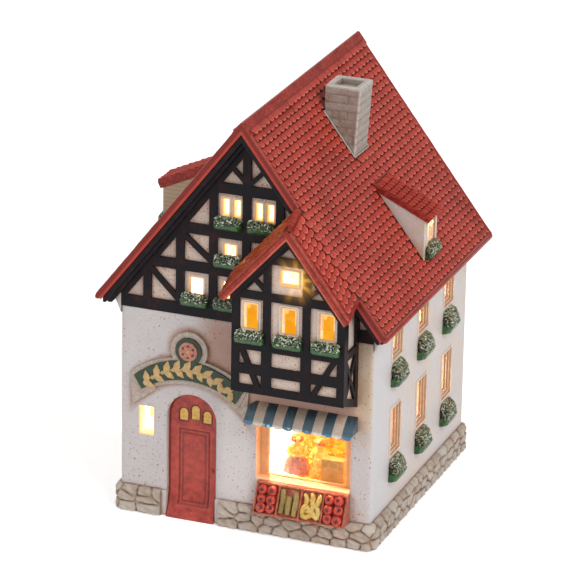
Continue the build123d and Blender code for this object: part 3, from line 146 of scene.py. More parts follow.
class Mat:
    """A node material. Its texture space is the row frame, in mm."""

    def __init__(self, name, rough=0.4, coat=0, coat_rough=0.15, shine=0.4):
        self.m = bpy.data.materials.new(name)
        self.m.use_nodes = True
        self.tree = self.m.node_tree
        self.bsdf = self.tree.nodes["Principled BSDF"]
        self.set("Roughness", rough)
        self.set("Specular IOR Level", shine)
        self.set("Coat Weight", coat)
        self.set("Coat Roughness", coat_rough)
        self.mm = self.scaled(self.n("TexCoord", out="Object"), 1000)
        self.x = self.n("SeparateXYZ", {0: self.mm})
        self.y, self.z = self.x.twin(1), self.x.twin(2)

    def n(self, kind, ins=None, out=0, **props):
        """The output of a new node."""
        node = self.tree.nodes.new("ShaderNode" + kind)
        for key, value in props.items():
            setattr(node, key, value)
        for key, value in (ins or {}).items():
            self.put(node.inputs[key], value)
        return Val(self, node.outputs[out])

    def put(self, socket, value):
        if isinstance(value, Val):
            self.tree.links.new(value.socket, socket)
        else:
            socket.default_value = rgb(value) if isinstance(value, str) else value

    def set(self, name, value):
        self.put(self.bsdf.inputs[name], value)

    def base(self, colour):
        self.set("Base Color", colour)

    def math(self, kind, a, b=0):
        return self.n("Math", {0: a, 1: b}, operation=kind)

    def vector(self, kind, a, b):
        return self.n("VectorMath", {0: a, 1: b}, operation=kind)

    def scaled(self, a, by):
        return self.n("VectorMath", {0: a, "Scale": by}, operation="SCALE")

    def noise(self, scale, detail=3, vec=None):
        ins = {"Vector": vec or self.mm, "Scale": scale, "Detail": detail, "Roughness": 0.55}
        return self.n("TexNoise", ins)

    def mix(self, share, a, b):
        return self.n("Mix", {0: share, 6: a, 7: b}, 2, data_type="RGBA")

    def mottle(self, scale, dark, mid):
        return self.mix(self.noise(scale, 4).ramp(0.3, 0.7), dark, mid)

    def paint(self):
        """The piece's own painted values: a chance value, an edge value and a joint value."""
        chance = self.n("SeparateColor", {0: self.n("Attribute", out="Color", attribute_name="paint")})
        return chance, chance.twin(1), chance.twin(2)

    def ao(self, reach, samples=6):
        return self.n("AmbientOcclusion", {"Distance": reach * MM}, "AO", samples=samples)

    def normal(self):
        return self.n("NewGeometry", out="Normal")

    def bump(self, height, mm, normal=None):
        ins = {"Height": height, "Strength": 1, "Distance": mm * MM}
        self.set("Normal", self.n("Bump", {**ins, "Normal": normal} if normal else ins))

    def grain(self, coarse, fine, mm, share=0.3, normal=None):
        """Bump of a coarse value and a fine noise."""
        self.bump(coarse + self.noise(fine, 2) * share, mm, normal)

    def emit(self, colour, strength):
        self.set("Emission Color", colour)
        self.set("Emission Strength", strength)


def lit(m, depth, near, far, where, bloom):
    """Warm light on surfaces that lie deep inside, orange at the mouth and almost white further in."""
    mask = depth.ramp(near, near + 2)
    colour = m.mix(mask, "ff7a14", "ffc65a")
    colour = m.mix(depth.ramp(near + 1.2, far), colour, "fff3d6")
    if where:
        mask = mask * where
    if bloom:
        colour = m.mix(mask, "ffb43a", colour)
        mask = mask.most(bloom * 0.8)
    m.emit(colour, mask * 1.3)


def near_point(m, x, z, stretch=1):
    """Distance from a point of the front, in mm."""
    dx, dz = (m.x - x) * stretch, m.z - z
    return m.math("SQRT", dx * dx + dz * dz)


def star(m, reach):
    """Light about the bulb that shows through the attic window, in rays."""
    angle = m.math("ARCTAN2", m.z - star_z, m.x - star_x)
    ray = m.math("SINE", angle * 9).ramp(-0.4, 1, 0.35, 1)
    away = near_point(m, star_x, star_z)
    fall = away.fall(0.5, reach)
    return away.ramp(2.5, 6.5, 0.9, 0).most(fall * fall * ray)


def stucco(name, inside=None, near=1.6, far=6.5, specks=1, fine=1, tone=("d0caca", "c0b8b7"), finish=None):
    """Speckled cream glaze; inside gives how deep a point lies in the lit room."""
    m = Mat(name, rough=0.55, coat=0.1, coat_rough=0.3)
    cream = m.mix(m.noise(0.09, 4), *tone)
    cream = m.mix(m.noise(0.9).ramp(0.45, 0.75) * 0.4, cream, "dcd7d5")
    cream, where, bloom = finish(m, cream) if finish else (cream, None, None)
    # brown specks of two sizes, thicker in some places and few on the side walls
    crowd = m.noise(0.06, 2).ramp(0.3, 0.6, 0.55, 1)
    few = abs(m.x).ramp(58.9, 59.3, 0.85, 0.22)
    for scale, biggest in ((0.42, 0.18), (0.85, 0.22)):
        away = m.n("TexVoronoi", {"Vector": m.mm, "Scale": scale * fine}, "Distance")
        size = m.n("SeparateColor", {0: away.twin("Color")})
        reach = size.ramp(0.3, 0.6) * crowd * (biggest * specks)
        cream = m.mix((away - reach).fall(-0.07, 0.05) * few, cream, "a65a20")
    # painted shade: brown in the corners and round what is stuck on, where ambient occlusion finds them
    corner = m.ao(6).fall(0.35, 0.9) * m.noise(0.16).ramp(0.25, 0.75, 0.4, 0.85)
    m.base(m.mix(corner, cream, "a8785c"))
    # soft arrises at the front
    flat_n = m.normal()
    turned = m.vector("SUBTRACT", m.n("Bevel", {"Radius": 1.7 * MM}, samples=6), flat_n)
    soft = m.vector("ADD", flat_n, m.scaled(turned, m.y.fall(-54.6, -52.6)))
    m.grain(m.noise(0.35, 4), 2.2, 0.22, 0.35, soft)
    if inside:
        lit(m, inside(m), near, far, where, bloom)
    return m.m


def walls_in(m):
    return (half_w - abs(m.x)).least(m.y - front_y).least(rear_y - m.y)


def bay_in(m):
    return (bay_half - 1.2 - abs(m.x - bay_x)).least(m.y - bay_panel_y)


def dormer_in(m):
    return 61 - abs(m.x)


def front_finish(m, cream):
    """Painted brown shade round the sign, towards the bay and beside it; painted light right of the door; the door's
    reveal stays unlit.
    """
    front = m.y.ramp(-55.5, -56.3)
    # painted shade: a brown halo along the sign's arch and round its ring
    t = (m.x - sign_x) / sign_half
    curve = sign_foot_z + sign_rise - t * t * sign_rise
    band = abs(m.z - curve).fall(6, 10) * abs(t).fall(1.35, 1.6)
    ring = near_point(m, sign_x, sign_ring_z).fall(8.6, 12.6)
    outline = band.most(ring) * m.noise(0.2).ramp(0.2, 0.7, 0.55, 1)
    # painted shade: brown towards the bay and under it, above the awning
    by_bay = m.x.within(-20, 3, 7) * m.z.within(66, 100, 8)
    bay_shade = by_bay.most(m.x.within(-3, 56, 3) * m.z.within(57, 80, 4))
    # painted shade: tan on the strip of wall beside the bay's right side
    beside = m.x.ramp(50, 53) * m.z.ramp(40, 70)
    side = abs(m.x).ramp(58.9, 59.3)
    warm = side * m.y.ramp(-48, -10) * m.noise(0.05).ramp(0.3, 0.65, 0.15, 0.6)
    # painted light: a lighter patch on the wall between the door and the shop
    painted_light = m.x.within(-11, 3, 3) * m.z.within(12, 60, 6)
    for share, tone in (
        (side * 0.7, "d4d2d5"), (warm, "d9c3b2"), (painted_light * front * 0.6, "e2dcda"),
        (bay_shade * front * 0.8, "b08270"), (beside * front * 0.75, "d6ba98"), (outline * front * 0.85, "a97f62"),
    ):
        cream = m.mix(share, cream, tone)
    doorway = m.x.within(door_x - 14.5, door_x + 14.5, 0.2) * m.z.fall(59, 60)
    return cream, 1 - doorway * m.y.fall(-50, -49), None


def dormer_finish(m, cream):
    """White cheeks, warm in the middle; on the left slope they are tan, with fine brick lines."""
    left = m.x.fall(-1, 1)
    line = abs(m.math("FRACT", m.z / 2) - 0.5).ramp(0.36, 0.46)
    bricks = m.mix(line * 0.55, "b7a488", "8d7758")
    warm = m.mix(m.noise(0.1, 2).ramp(0.35, 0.65) * 0.8, cream, "d3bda6")
    in_right = abs(m.y - 14).fall(6.6, 6.9) * m.x.ramp(1, 2)
    in_left = abs(m.y - 5.8).fall(6.6, 6.9) * left
    return m.mix(left, warm, bricks), in_right.most(in_left), None


def bay_finish(m, cream):
    """A warm bloom about the attic window."""
    bloom = star(m, 13)
    return m.mix(bloom * 0.8, cream, "f6d79c"), None, bloom


def timber(name, bloom=False):
    m = Mat(name, rough=0.45, coat=0.06, coat_rough=0.16, shine=0.12)
    streak = m.noise(0.9, 4, m.vector("MULTIPLY", m.mm, (1, 1, 0.35)))
    colour = m.mix(streak, "0c0b0f", "1a181d")
    colour = m.mix(m.noise(0.22).ramp(0.42, 0.75) * (0.4 if bloom else 0.85), colour, "33191a")
    # the barge boards' feet are glazed with the eaves
    colour = m.mix(abs(m.x).ramp(64, 64.8), colour, "8a2519")
    if bloom:
        # light that spills from the attic window over the bars round it
        spill = star(m, 15) * m.y.ramp(-70, -73)
        colour = m.mix(spill, colour, "a8742c")
        m.emit("ffb84a", spill)
    m.base(colour)
    m.grain(streak, 3, 0.22)
    return m.m


def roof_glaze(name, dark="aa2e21", mid="c64232", pale="e08e7e", painted=False, finish=None, gloss=1):
    m = Mat(name, rough=0.42, coat=0.1 * gloss, coat_rough=0.2, shine=0.25 * gloss)
    colour = m.mottle(0.1, dark, mid)
    colour = m.mix(m.noise(0.7).ramp(0.4, 0.75) * 0.6, colour, "c4503f")
    colour = m.mix(m.noise(0.035).ramp(0.5, 0.7) * 0.5, colour, "7c2012")
    if painted:
        chance, edge, joint = m.paint()
        colour = m.mix(chance * 0.4, colour, "c64434")
        # edge paint: a pale painted highlight on tile rims and roll crests
        colour = m.mix(edge * m.noise(0.45, 2).ramp(0.25, 0.7, 0.45, 1), colour, pale)
        # joint paint: dark joints, and painted shadow under the tails and at the rolls' feet
        colour = m.mix(joint * 0.9, colour, "571410")
        # painted shade: darker in the crevices, where ambient occlusion finds them
        colour = m.mix(m.ao(1, 8).fall(0.3, 0.8) * 0.85, colour, "420d0a")
    m.base(finish(m, colour) if finish else colour)
    m.grain(m.noise(0.6), 2.5, 0.14)
    return m.m


def slab_finish(m, colour):
    """The bed of the tiles is painted dark, as painted shade between them; the slab's own edge has a bright lower
    strip, and its inside is lit.
    """
    facing = m.n("SeparateXYZ", {0: m.normal()}, 2)
    below = (outer_z(0) - (abs(m.x) * slope + m.z)) * cos(pitch)
    edge = m.mix(m.noise(0.5), "6c1a15", "8a2820")
    colour = m.mix(below.ramp(1.5, 2.1), edge, m.mix(m.noise(0.4), "a03223", "b84430"))
    inside = facing.ramp(-0.35, -0.45) * m.y.within(inner_front_y, inner_rear_y, 0.4)
    m.emit("ffefcc", inside * below.ramp(2.6, 2.9) * 1.3)
    # painted shade: the up-facing bed, seen only between the tiles, is dark
    return m.mix(facing.ramp(0.2, 0.35), colour, "5a1410")


def bay_edge_finish(m, colour):
    """Lines along the slabs' front edge: a dark groove under the roll as painted shade, a pale lower arris as painted
    highlight.
    """
    steep = m.x.ramp(bay_x - 0.1, bay_x + 0.1, tan(bay_left_pitch), slope)
    plane = bay_ridge_z - abs(m.x - bay_x) * steep + (m.y - bay_verge_y) * bay_climb
    below = (plane - m.z) * cos(pitch)
    for at, wide, tone, share in ((0.55, 0.45, "5c1610", 0.85), (2.5, 0.4, "d98268", 0.6)):
        line = abs(below - at).ramp(0.1, wide, share, 0)
        colour = m.mix(line * m.noise(0.3).ramp(0.3, 0.6, 0.5, 1), colour, tone)
    return colour


def glazed(name, dark, mid, pale, scale, coat=0.25, bump=0.18, joint_colour=None, glow=0):
    """A mottled glaze of three shades, with painted values where a joint colour is given."""
    m = Mat(name, rough=0.36, coat=coat, coat_rough=0.2)
    colour = m.mottle(scale, dark, mid)
    colour = m.mix(m.noise(scale * 2.3).ramp(0.5, 0.8) * 0.7, colour, pale)
    if joint_colour:
        chance, edge, joint = m.paint()
        # edge paint gives painted highlights, joint paint dark joints and painted shade
        for share, tone in ((chance * 0.5, pale), (edge * 0.8, pale), (joint * 0.9, joint_colour)):
            colour = m.mix(share, colour, tone)
    m.base(colour)
    m.grain(m.noise(scale * 2), 3, bump)
    # painted light: with glow, the glaze glows as if lit by the lamp inside the house
    if glow:
        m.emit(colour, glow)
    return m.m


def stripe(name, slope_dark, slope_pale, valance, shine):
    """Awning glaze: darker at the top of the slope, brighter on the valance."""
    m = Mat(name, rough=0.38, coat=0.2, coat_rough=0.18, shine=0.3)
    colour = m.mix(m.z.ramp(63, 57) * m.noise(0.4).ramp(0.2, 0.8, 0.6, 1), slope_dark, slope_pale)
    colour = m.mix(m.noise(1.1).ramp(0.58, 0.7) * 0.45, colour, valance)
    # painted highlight: the valance's lower hem is paler, with pale flecks
    hem = m.z.ramp(55.9, 55.2) * m.y.ramp(-63.5, -64.3)
    m.base(m.mix(hem, colour, m.mix(m.noise(0.5).ramp(0.5, 0.62), valance, shine)))
    m.grain(m.noise(0.6), 2.5, 0.3)
    return m.m


def frame_material():
    """Window mouldings: pale arrises, brown in the corners, and the light that falls on the inner steps."""
    m = Mat("window_frame", rough=0.45, coat=0.2)
    warm, edge, joint = m.paint()
    colour = m.mix(edge * 0.85, m.mottle(0.5, "cda984", "dfc6ac"), "e6d6c9")
    m.base(m.mix(joint * 0.85, colour, "a26c3c"))
    m.emit(m.mix(warm, "ff7d1e", "ffc768"), warm * 0.8)
    m.grain(m.noise(1), 3, 0.16)
    return m.m


def stone_material(name, dark, mid, pale, joint_colour):
    m = Mat(name, rough=0.5, coat=0.15, coat_rough=0.3)
    chance, edge, joint = m.paint()
    wash = joint * m.noise(0.22).ramp(0.34, 0.6, 0.35, 1) * m.y.ramp(-58.6, -56.6, 0.62, 1)
    stain = m.noise(0.13).ramp(0.5, 0.75) * 0.45
    # painted shade: the joint colour darkens the hollows, where ambient occlusion finds them
    hollow = m.ao(1.6).ramp(0.35, 0.85, 0.95, 0)
    colour = m.mottle(0.35, dark, mid)
    # edge paint is a painted highlight: on the chimney's corners and top rim, and on the plinth stones' raised middles
    for share, tone in ((chance * 0.6, pale), (edge * 0.6, "e2dcd0"), (wash, joint_colour), (stain, "a3856a"),
                        (hollow, joint_colour)):
        colour = m.mix(share, colour, tone)
    m.base(colour)
    m.grain(m.noise(1, 4), 3.5, 0.4, 0.4)
    return m.m


def shop_material():
    """The shop's wall and floor: mottled orange and red, lit from within and white-hot towards the left."""
    m = Mat("shop_room", rough=0.5, coat=0.2)
    colour = m.mix(m.noise(0.28, 4).ramp(0.35, 0.65), "d9681c", "f7a53a")
    colour = m.mix(m.noise(0.5).ramp(0.52, 0.66) * 0.8, colour, "b23a1c")
    colour = m.mix(m.noise(0.75, 2).ramp(0.56, 0.7) * 0.7, colour, "ffd674")
    hot = (m.x * 0.936 + m.y * 0.353).ramp(4.5, 1.5)
    colour = m.mix(hot, colour, "fffdf2")
    m.base(colour)
    m.emit(colour, hot.ramp(0, 1, 0.6, 1.5))
    m.bump(m.noise(0.8), 0.2)
    return m.m


def flower_material():
    m = Mat("blossom", rough=0.4, coat=0.3)
    chance, edge, joint = m.paint()
    colour = m.mix(chance.ramp(0.1, 0.6), "dfe4d6", "869a7a")
    colour = m.mix(chance.ramp(0.55, 0.95), colour, "4c5f38")
    # joint paint: painted shade on the strokes' backs
    colour = m.mix(joint * 0.85, m.mix(edge, colour, "8c733e"), "20301a")
    m.base(m.mix(m.noise(1.1).ramp(0.5, 0.7) * 0.45, colour, "6f8160"))
    m.bump(m.noise(3, 2), 0.12)
    return m.m


def pane_material():
    """Lit amber, with a paler patch in the upper left of each pane."""
    m = Mat("amber_pane", rough=0.35, shine=0.1)
    colour = m.mix(m.noise(0.14).ramp(0.35, 0.7), "f39a0c", "fbb02a")
    spots = [near_point(m, bay_x + x - 1.7, 113.4, 1.5).fall(0.9, 2.2) for x in bay_columns]
    patch = spots[0].most(spots[1]).most(spots[2])
    m.base("3a2204")
    m.emit(m.mix(patch * 0.75, colour, "ffdf78"), 0.98)
    m.bump(m.noise(0.8, 2), 0.1)
    return m.m


def plastic(name, dark, pale):
    m = Mat(name, rough=0.45)
    m.base(m.mix(m.noise(0.3), dark, pale))
    m.bump(m.noise(6, 2), 0.03)
    return m.m


def metal(name, dark, pale, rough):
    m = Mat(name, rough=rough)
    m.set("Metallic", 1)
    m.base(m.mix(m.noise(0.6, 4), dark, pale))
    m.bump(m.noise(1.5, 3, m.vector("MULTIPLY", m.mm, (1, 0.1, 1))), 0.03)
    return m.m


def bulb_material():
    m = Mat("bulb_glass", rough=0.15)
    frost = m.mix(m.noise(0.4), "f6dfae", "f2cc84")
    m.base(frost)
    m.emit(frost, m.noise(0.12, 2).ramp(0.2, 0.8, 1.1, 1.5))
    return m.m


M = {
    "wall": stucco("stucco_wall", walls_in, finish=front_finish),
    "gable": stucco("stucco_gable", walls_in, near=2.2, fine=1.4, specks=1.45, tone=("dcc7b9", "cab2a4")),
    "bay": stucco("stucco_bay", bay_in, 0.7, 4, 1.45, 1.5, ("dcc8ba", "cbb5a7"), bay_finish),
    "dormer": stucco("stucco_dormer", dormer_in, 2.2, 5, 0.4, tone=("dad5d2", "cbc3bd"), finish=dormer_finish),
    "plain": stucco("stucco_plain", specks=0.5),
    "timber": timber("timber_black"),
    "bay_timber": timber("timber_bay", bloom=True),
    "roof": roof_glaze("roof_slab", finish=slab_finish),
    "red": roof_glaze("roof_red", "7e1f16", "9a2f24"),
    "edge": roof_glaze("roof_edge", "74190c", "902a1b", "c4604e", painted=True),
    "bay_red": roof_glaze("roof_bay", "8a2417", "a83726", finish=bay_edge_finish),
    # a brighter copy of the tile glaze: painted light on the bay's right slope
    "bay_tile": roof_glaze("roof_bay_tile", "b63629", "d44e3d", "e89c8e", painted=True),
    "matt_tile": roof_glaze("roof_matt", "982a1f", "b23c2e", "c46052", painted=True, gloss=0.1),
    "tile": roof_glaze("roof_tile", painted=True),
    # painted light: an orange glaze that glows, for the bay's left slope lit by the gable windows
    "warm_red": glazed("roof_window_lit", "862a16", "ae4220", "d67836", 0.4, glow=0.1),
    "stone": stone_material("stone", "a18d7c", "b8a899", "d2c8bd", "70482c"),
    "brick": stone_material("chimney_brick", "917d70", "a59184", "b0aeab", "66543f"),
    "door": glazed("door_red", "8c2319", "b83c2b", "c85443", 0.34, bump=0.25, joint_colour="5e150f"),
    "light": glazed("door_light", "b98a35", "d9ab52", "ecd08a", 0.9, coat=0.5, glow=0.12),
    "grey": glazed("sign_grey", "a38f81", "bcab9e", "d8d0c9", 0.6),
    "green": glazed("sign_green", "12240f", "1e3c1c", "2a4c28", 0.5),
    "tan": glazed("sign_tan", "b9935c", "d0ad74", "e0c592", 0.8),
    "pink": glazed("sign_pink", "b06a56", "cb8470", "dca18e", 0.8),
    "blue": stripe("awning_blue", "28343c", "536b7a", "4a82a4", "c2d8e2"),
    "white": stripe("awning_white", "a48f80", "c4b5a8", "d8cec4", "ece8e2"),
    "tray": glazed("tray", "9a4630", "c2664a", "d88c6a", 0.5),
    "apple": glazed("apple", "9c1e1a", "cc3428", "e06a52", 0.8, coat=0.3, joint_colour="2a0705"),
    "olive": glazed("olive", "665a2c", "a38a4a", "c8ac6c", 0.7, joint_colour="3a3620"),
    "yellow": glazed("yellow", "b08a2c", "e2b850", "f4dc90", 0.7, joint_colour="6a5a1c"),
    "leaf": glazed("leaf_green", "163d1c", "2b622b", "458040", 0.6, coat=0.4),
    "dark_leaf": glazed("dark_leaf", "0a1207", "18260f", "2b3d1c", 0.9),
    "counter": glazed("counter", "a8763a", "bd8a48", "cf9f5c", 0.3, glow=0.3),
    "rose": glazed("figure_rose", "a4665c", "bf8c7e", "d6ac9c", 0.6, glow=0.22),
    "cream": glazed("figure_cream", "dc9a2e", "f0c862", "ffe8a8", 0.6, glow=0.32),
    "hair": glazed("figure_hair", "a8481c", "d07a2c", "eaa648", 0.9, glow=0.25),
    "skin": glazed("figure_skin", "d99a66", "edb98a", "f6d2ac", 0.9, glow=0.35),
    "frame": frame_material(),
    "shop": shop_material(),
    "blossom": flower_material(),
    "pane": pane_material(),
    "holder": plastic("holder_plastic", "c9c6bd", "dedbd3"),
    "steel": metal("spring_steel", "8b8b8d", "b5b5b8", 0.35),
    "brass": metal("brass", "a5813c", "cfae62", 0.3),
    "alu": metal("aluminium", "a9a9ab", "cfcfd2", 0.32),
    "wire": metal("stem_wire", "6f6d69", "9a9894", 0.4),
    "bulb": bulb_material(),
}


# Mesh tools
PLAIN = (0, 0, 0)
X, UP = Vector((1, 0, 0)), Vector((0, 0, 1))


def moved(x, y, z):
    return Matrix.Translation(Vector((x, y, z)))


def spun(angle, axis):
    return Matrix.Rotation(angle, 4, axis)


to_front = spun(pi / 2, "X")


class Shape:
    """Points in mm, faces, a material number per face, and painted values per point."""

    def __init__(self):
        self.v, self.f, self.k, self.p = [], [], [], []

    def add(self, points, faces, mat=0, paint=PLAIN):
        start = len(self.v)
        self.v.extend(tuple(p) for p in points)
        self.p.extend(paint if isinstance(paint, list) else [paint] * len(points))
        self.f.extend(tuple(start + i for i in face) for face in faces)
        self.k.extend([mat] * len(faces))

    def grid(self, rows, mat=0, paint=PLAIN, wrap=False, flip=False):
        """Quads between rows of points; wrap joins each row's end to its start."""
        count = len(rows[0])
        faces = []
        for i in range(len(rows) - 1):
            for j in range(count if wrap else count - 1):
                a, b = i * count + j, i * count + (j + 1) % count
                q = (a, b, b + count, a + count)
                faces.append(q[::-1] if flip else q)
        if isinstance(paint, list):
            paint = [p for row in paint for p in row]
        self.add([p for r in rows for p in r], faces, mat, paint)

    def lathe(self, profile, at, mat=0, paint=None, around=12, lobes=(0, 1)):
        """A turned form: profile of (radius, height), placed by the matrix at; lobes: depth and number."""
        turns = [2 * pi * j / around for j in range(around)]
        swell = [1 + lobes[0] * cos(lobes[1] * a) for a in turns]
        rows = [[at @ Vector((r * k * cos(a), r * k * sin(a), h)) for a, k in zip(turns, swell)]
                for r, h in profile]
        self.grid(rows, mat, [[tone] * around for tone in paint or [PLAIN] * len(profile)], wrap=True)

    def tube(self, path, radii, mat=0, paint=PLAIN, around=8):
        """A round bar along a line of points, with a radius at each, closed at both ends."""
        path = [Vector(p) for p in path]
        rows = []
        for i, p in enumerate(path):
            d = (path[min(i + 1, len(path) - 1)] - path[max(i - 1, 0)]).normalized()
            side = d.orthogonal().normalized() if i == 0 else (side - d * side.dot(d)).normalized()
            other = d.cross(side)
            rows.append([p + (side * cos(a) + other * sin(a)) * radii[i]
                         for a in (2 * pi * j / around for j in range(around))])
        self.grid(rows, mat, [[paint] * around] * len(rows), wrap=True)
        for row, way in ((rows[0], -1), (rows[-1], 1)):
            self.add(row, [tuple(range(around))[::way]], mat, paint)

    def rounded_box(self, low, high, r, paint=PLAIN, steps=2):
        bm = bmesh.new()
        bmesh.ops.create_cube(bm, size=1)
        for v in bm.verts:
            v.co = Vector([(high[i] - low[i]) * v.co[i] + (high[i] + low[i]) / 2 for i in range(3)])
        bmesh.ops.bevel(bm, geom=bm.edges[:], offset=r, segments=steps, affect="EDGES", profile=0.5)
        bm.verts.index_update()
        self.add([v.co for v in bm.verts], [[v.index for v in f.verts] for f in bm.faces], 0, paint)
        bm.free()

    def piece(self, name, mats, slot, body="house", stands_for=(), sharp=40):
        """The finished piece, with smooth faces that meet sharply from an angle of sharp degrees on."""
        mesh = bpy.data.meshes.new(name)
        mesh.from_pydata([Vector(p) * MM for p in self.v], [], self.f)
        for m in mats:
            mesh.materials.append(M[m])
        mesh.polygons.foreach_set("material_index", self.k)
        mesh.polygons.foreach_set("use_smooth", [True] * len(mesh.polygons))
        mesh.set_sharp_from_angle(angle=radians(sharp))
        paint = mesh.attributes.new("paint", "FLOAT_COLOR", "POINT")
        paint.data.foreach_set("color", [c for p in self.p for c in (*p, 1)])
        mesh.update()
        obj = bpy.data.objects.new(name, mesh)
        scene.collection.objects.link(obj)
        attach(obj, body)
        if stands_for:
            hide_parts(*stands_for)
        return obj


def soften(node, material, width):
    """A CAD node keeps its shape: its arrises are rounded a little, and it gets its material."""
    obj = nodes[node]
    obj.data.materials.clear()
    obj.data.materials.append(M[material])
    obj.data.polygons.foreach_set("material_index", [0] * len(obj.data.polygons))
    if not width:
        return
    obj.data.polygons.foreach_set("use_smooth", [True] * len(obj.data.polygons))
    for name, kind, props in (
        ("weld", "WELD", {"merge_threshold": 1e-6}),
        ("flatten", "DECIMATE", {"decimate_type": "DISSOLVE", "angle_limit": radians(2)}),
        ("bevel", "BEVEL", {"width": width * MM, "segments": 2, "limit_method": "ANGLE",
                            "angle_limit": radians(35), "harden_normals": False}),
        ("normals", "WEIGHTED_NORMAL", {"keep_sharp": True}),
    ):
        modifier = obj.modifiers.new(name, kind)
        for key, value in props.items():
            setattr(modifier, key, value)


def islands(node):
    """The box of each separate solid of a CAD node, in mm."""
    bm = bmesh.new()
    bm.from_mesh(nodes[node].data)
    bmesh.ops.remove_doubles(bm, verts=bm.verts[:], dist=1e-6)
    seen, found = set(), []
    for v in bm.verts:
        if v in seen:
            continue
        stack, group = [v], []
        seen.add(v)
        while stack:
            u = stack.pop()
            group.append(u.co / MM)
            for e in u.link_edges:
                w = e.other_vert(u)
                if w not in seen:
                    seen.add(w)
                    stack.append(w)
        co = np.array(group)
        found.append((Vector(co.min(0)), Vector(co.max(0))))
    bm.free()
    return found


# CAD nodes that keep their shape, by material and width of the rounding
for material, width, kept in (
    ("wall", 0, "front_wall right_wall left_wall rear_wall"), ("plain", 0, "eave_coves"),
    ("gable", 0, "front_gable"), ("timber", 0.3, "front_timbers rear_timbers bay_side_timbers bay_base"),
    ("timber", 0.45, "front_barge_board rear_barge_board"), ("roof", 0, "roof_right roof_left"),
    ("red", 0, "ridge_cap dormer_roofs"), ("dormer", 0.3, "dormer_walls"), ("bay", 0, "bay_front bay_sides"),
    ("pane", 0.15, "bay_panes"), ("bay_timber", 0.3, "bay_timbers"), ("bay_timber", 0.4, "bay_barge_board"),
    ("bay_red", 0, "bay_roof_right bay_roof_left"), ("door", 0.25, "door_leaf"), ("door", 0, "door_knob"),
    ("light", 0.2, "door_lights"), ("grey", 0.45, "sign_board"), ("green", 0.2, "sign_panel"),
    ("tray", 0.3, "produce_tray"), ("shop", 0.2, "shop_floor"), ("counter", 0.4, "counter"),
    ("holder", 0.25, "lamp_collar lamp_socket"), ("holder", 0.4, "lamp_rear_cap"), ("steel", 0.1, "spring_clips"),
    ("brass", 0, "screw_shell"), ("brass", 0.15, "centre_contact bulb_contact"), ("alu", 0.2, "bulb_screw_cap"),
    ("bulb", 0, "bulb_glass"), ("wire", 0, "bulb_stem"),
):
    for node in kept.split():
        soften(node, material, width)

# Roof tiles
tile_across = (-1, -1, -0.95, -0.8, -0.5, 0, 0.5, 0.8, 0.95, 1, 1)
tile_rows = (  # share of the tile's length, thickness, edge paint (painted highlight), joint paint (dark joints and painted shadow under the tail above)
    (0, 0.06, 0, 1), (0.18, 0.16, 0, 0.8), (0.34, 0.24, 0, 0.15), (0.58, 0.32, 0, 0),
    (0.84, 0.4, 0.15, 0), (0.95, 0.42, 0.9, 0), (1, 0.2, 0.5, 0.4), (1, None, 0, 1))


def tiled(shape, origin, down, along, width, first, last, tile_w=4.6, keep=None, plain=None, fill=0, mat=0):
    """Courses of round-tailed tiles on a slab that steps down at the head of each course.

    keep says where tiles go, plain how far they lie up on a smooth bed, and fill how much glaze fills the joints.
    """
    origin, down, along = Vector(origin), Vector(down).normalized(), Vector(along).normalized()
    normal = down.cross(along).normalized()
    if normal.z < 0:
        normal.negate()
    flip = down.cross(along).dot(normal) >= 0
    count = max(1, round(width / tile_w))
    tile_w = width / count
    for i in range(int((last - first) / course)):
        head = first + i * course
        for j in range(-1, count + 1):
            centre = (j + 0.5 + (0.5 if i % 2 else 0)) * tile_w
            where = origin + down * (head + course / 2) + along * centre
            if centre < -0.01 or centre > width + 0.01 or keep and not keep(where):
                continue
            raised = (course_t - 0.1) * (1 - 0.6 * fill) * plain(where) if plain else 0
            shade, lean, worn = rng.random(), rng.uniform(-0.12, 0.12), rng.uniform(0.82, 1.05)
            grid, paint = [], []
            for share, thick, edge, joint in tile_rows:
                row, tone = [], []
                for c, a in enumerate(tile_across):
                    at_side = c in (0, len(tile_across) - 1)
                    t = min(max(centre + a * tile_w * 0.462 + lean * a * a, 0), width)
                    arc = sqrt(max(0, 1 - abs(a) ** 2.6))
                    s = min(head + (course - 1.75 + (2.25 + 0.25 * (worn - 1)) * arc + lean) * share, last + 0.5)
                    bed = -course_t * (1 - fill) * max(0, 1 - (s - head) / (course - course_lip))
                    if thick is None or at_side:
                        h = min(bed, -0.25) - 0.1
                    else:
                        h = bed + thick * worn + 0.14 * (1 - a * a) * min(1, 3 * share)
                    row.append(origin + down * s + along * t + normal * (h + raised))
                    # the lower ends of the tile's sides get a painted highlight too
                    rim = 0.4 if abs(a) == 1 and share > 0.5 else 0
                    tone.append((shade, 0 if thick is None else max(edge, rim),
                                 max(joint * (1 - 0.5 * fill), 0.6 * (1 - fill) if at_side else 0)))
                grid.append(row)
                paint.append(tone)
            shape.grid(grid, mat, paint, flip=flip)


# face x, top z, middle y and the roof's thickness, by side
dormers = {1: (59.7, 133.5, mid_y + 7.6, 2.2), -1: (62.3, 134.4, mid_y - 0.6, 3.6)}
verge_w, eave_w = 2.6, 1.6
first_course = ridge_cap_half / cos(pitch) - course
last_course = eave_x / cos(pitch) - eave_w


def dormer_head(side):
    """Where a dormer's roof meets the slope."""
    face, top, _, thick = dormers[side]
    fall = tan(dormer_pitch)
    return (outer_z(0) - (top + thick / cos(dormer_pitch)) - fall * face) / (slope - fall)


def beside_bay(p):
    return p.y < verge_front_y + verge_w + 0.1 and bay_x + 2 < p.x < 54.6


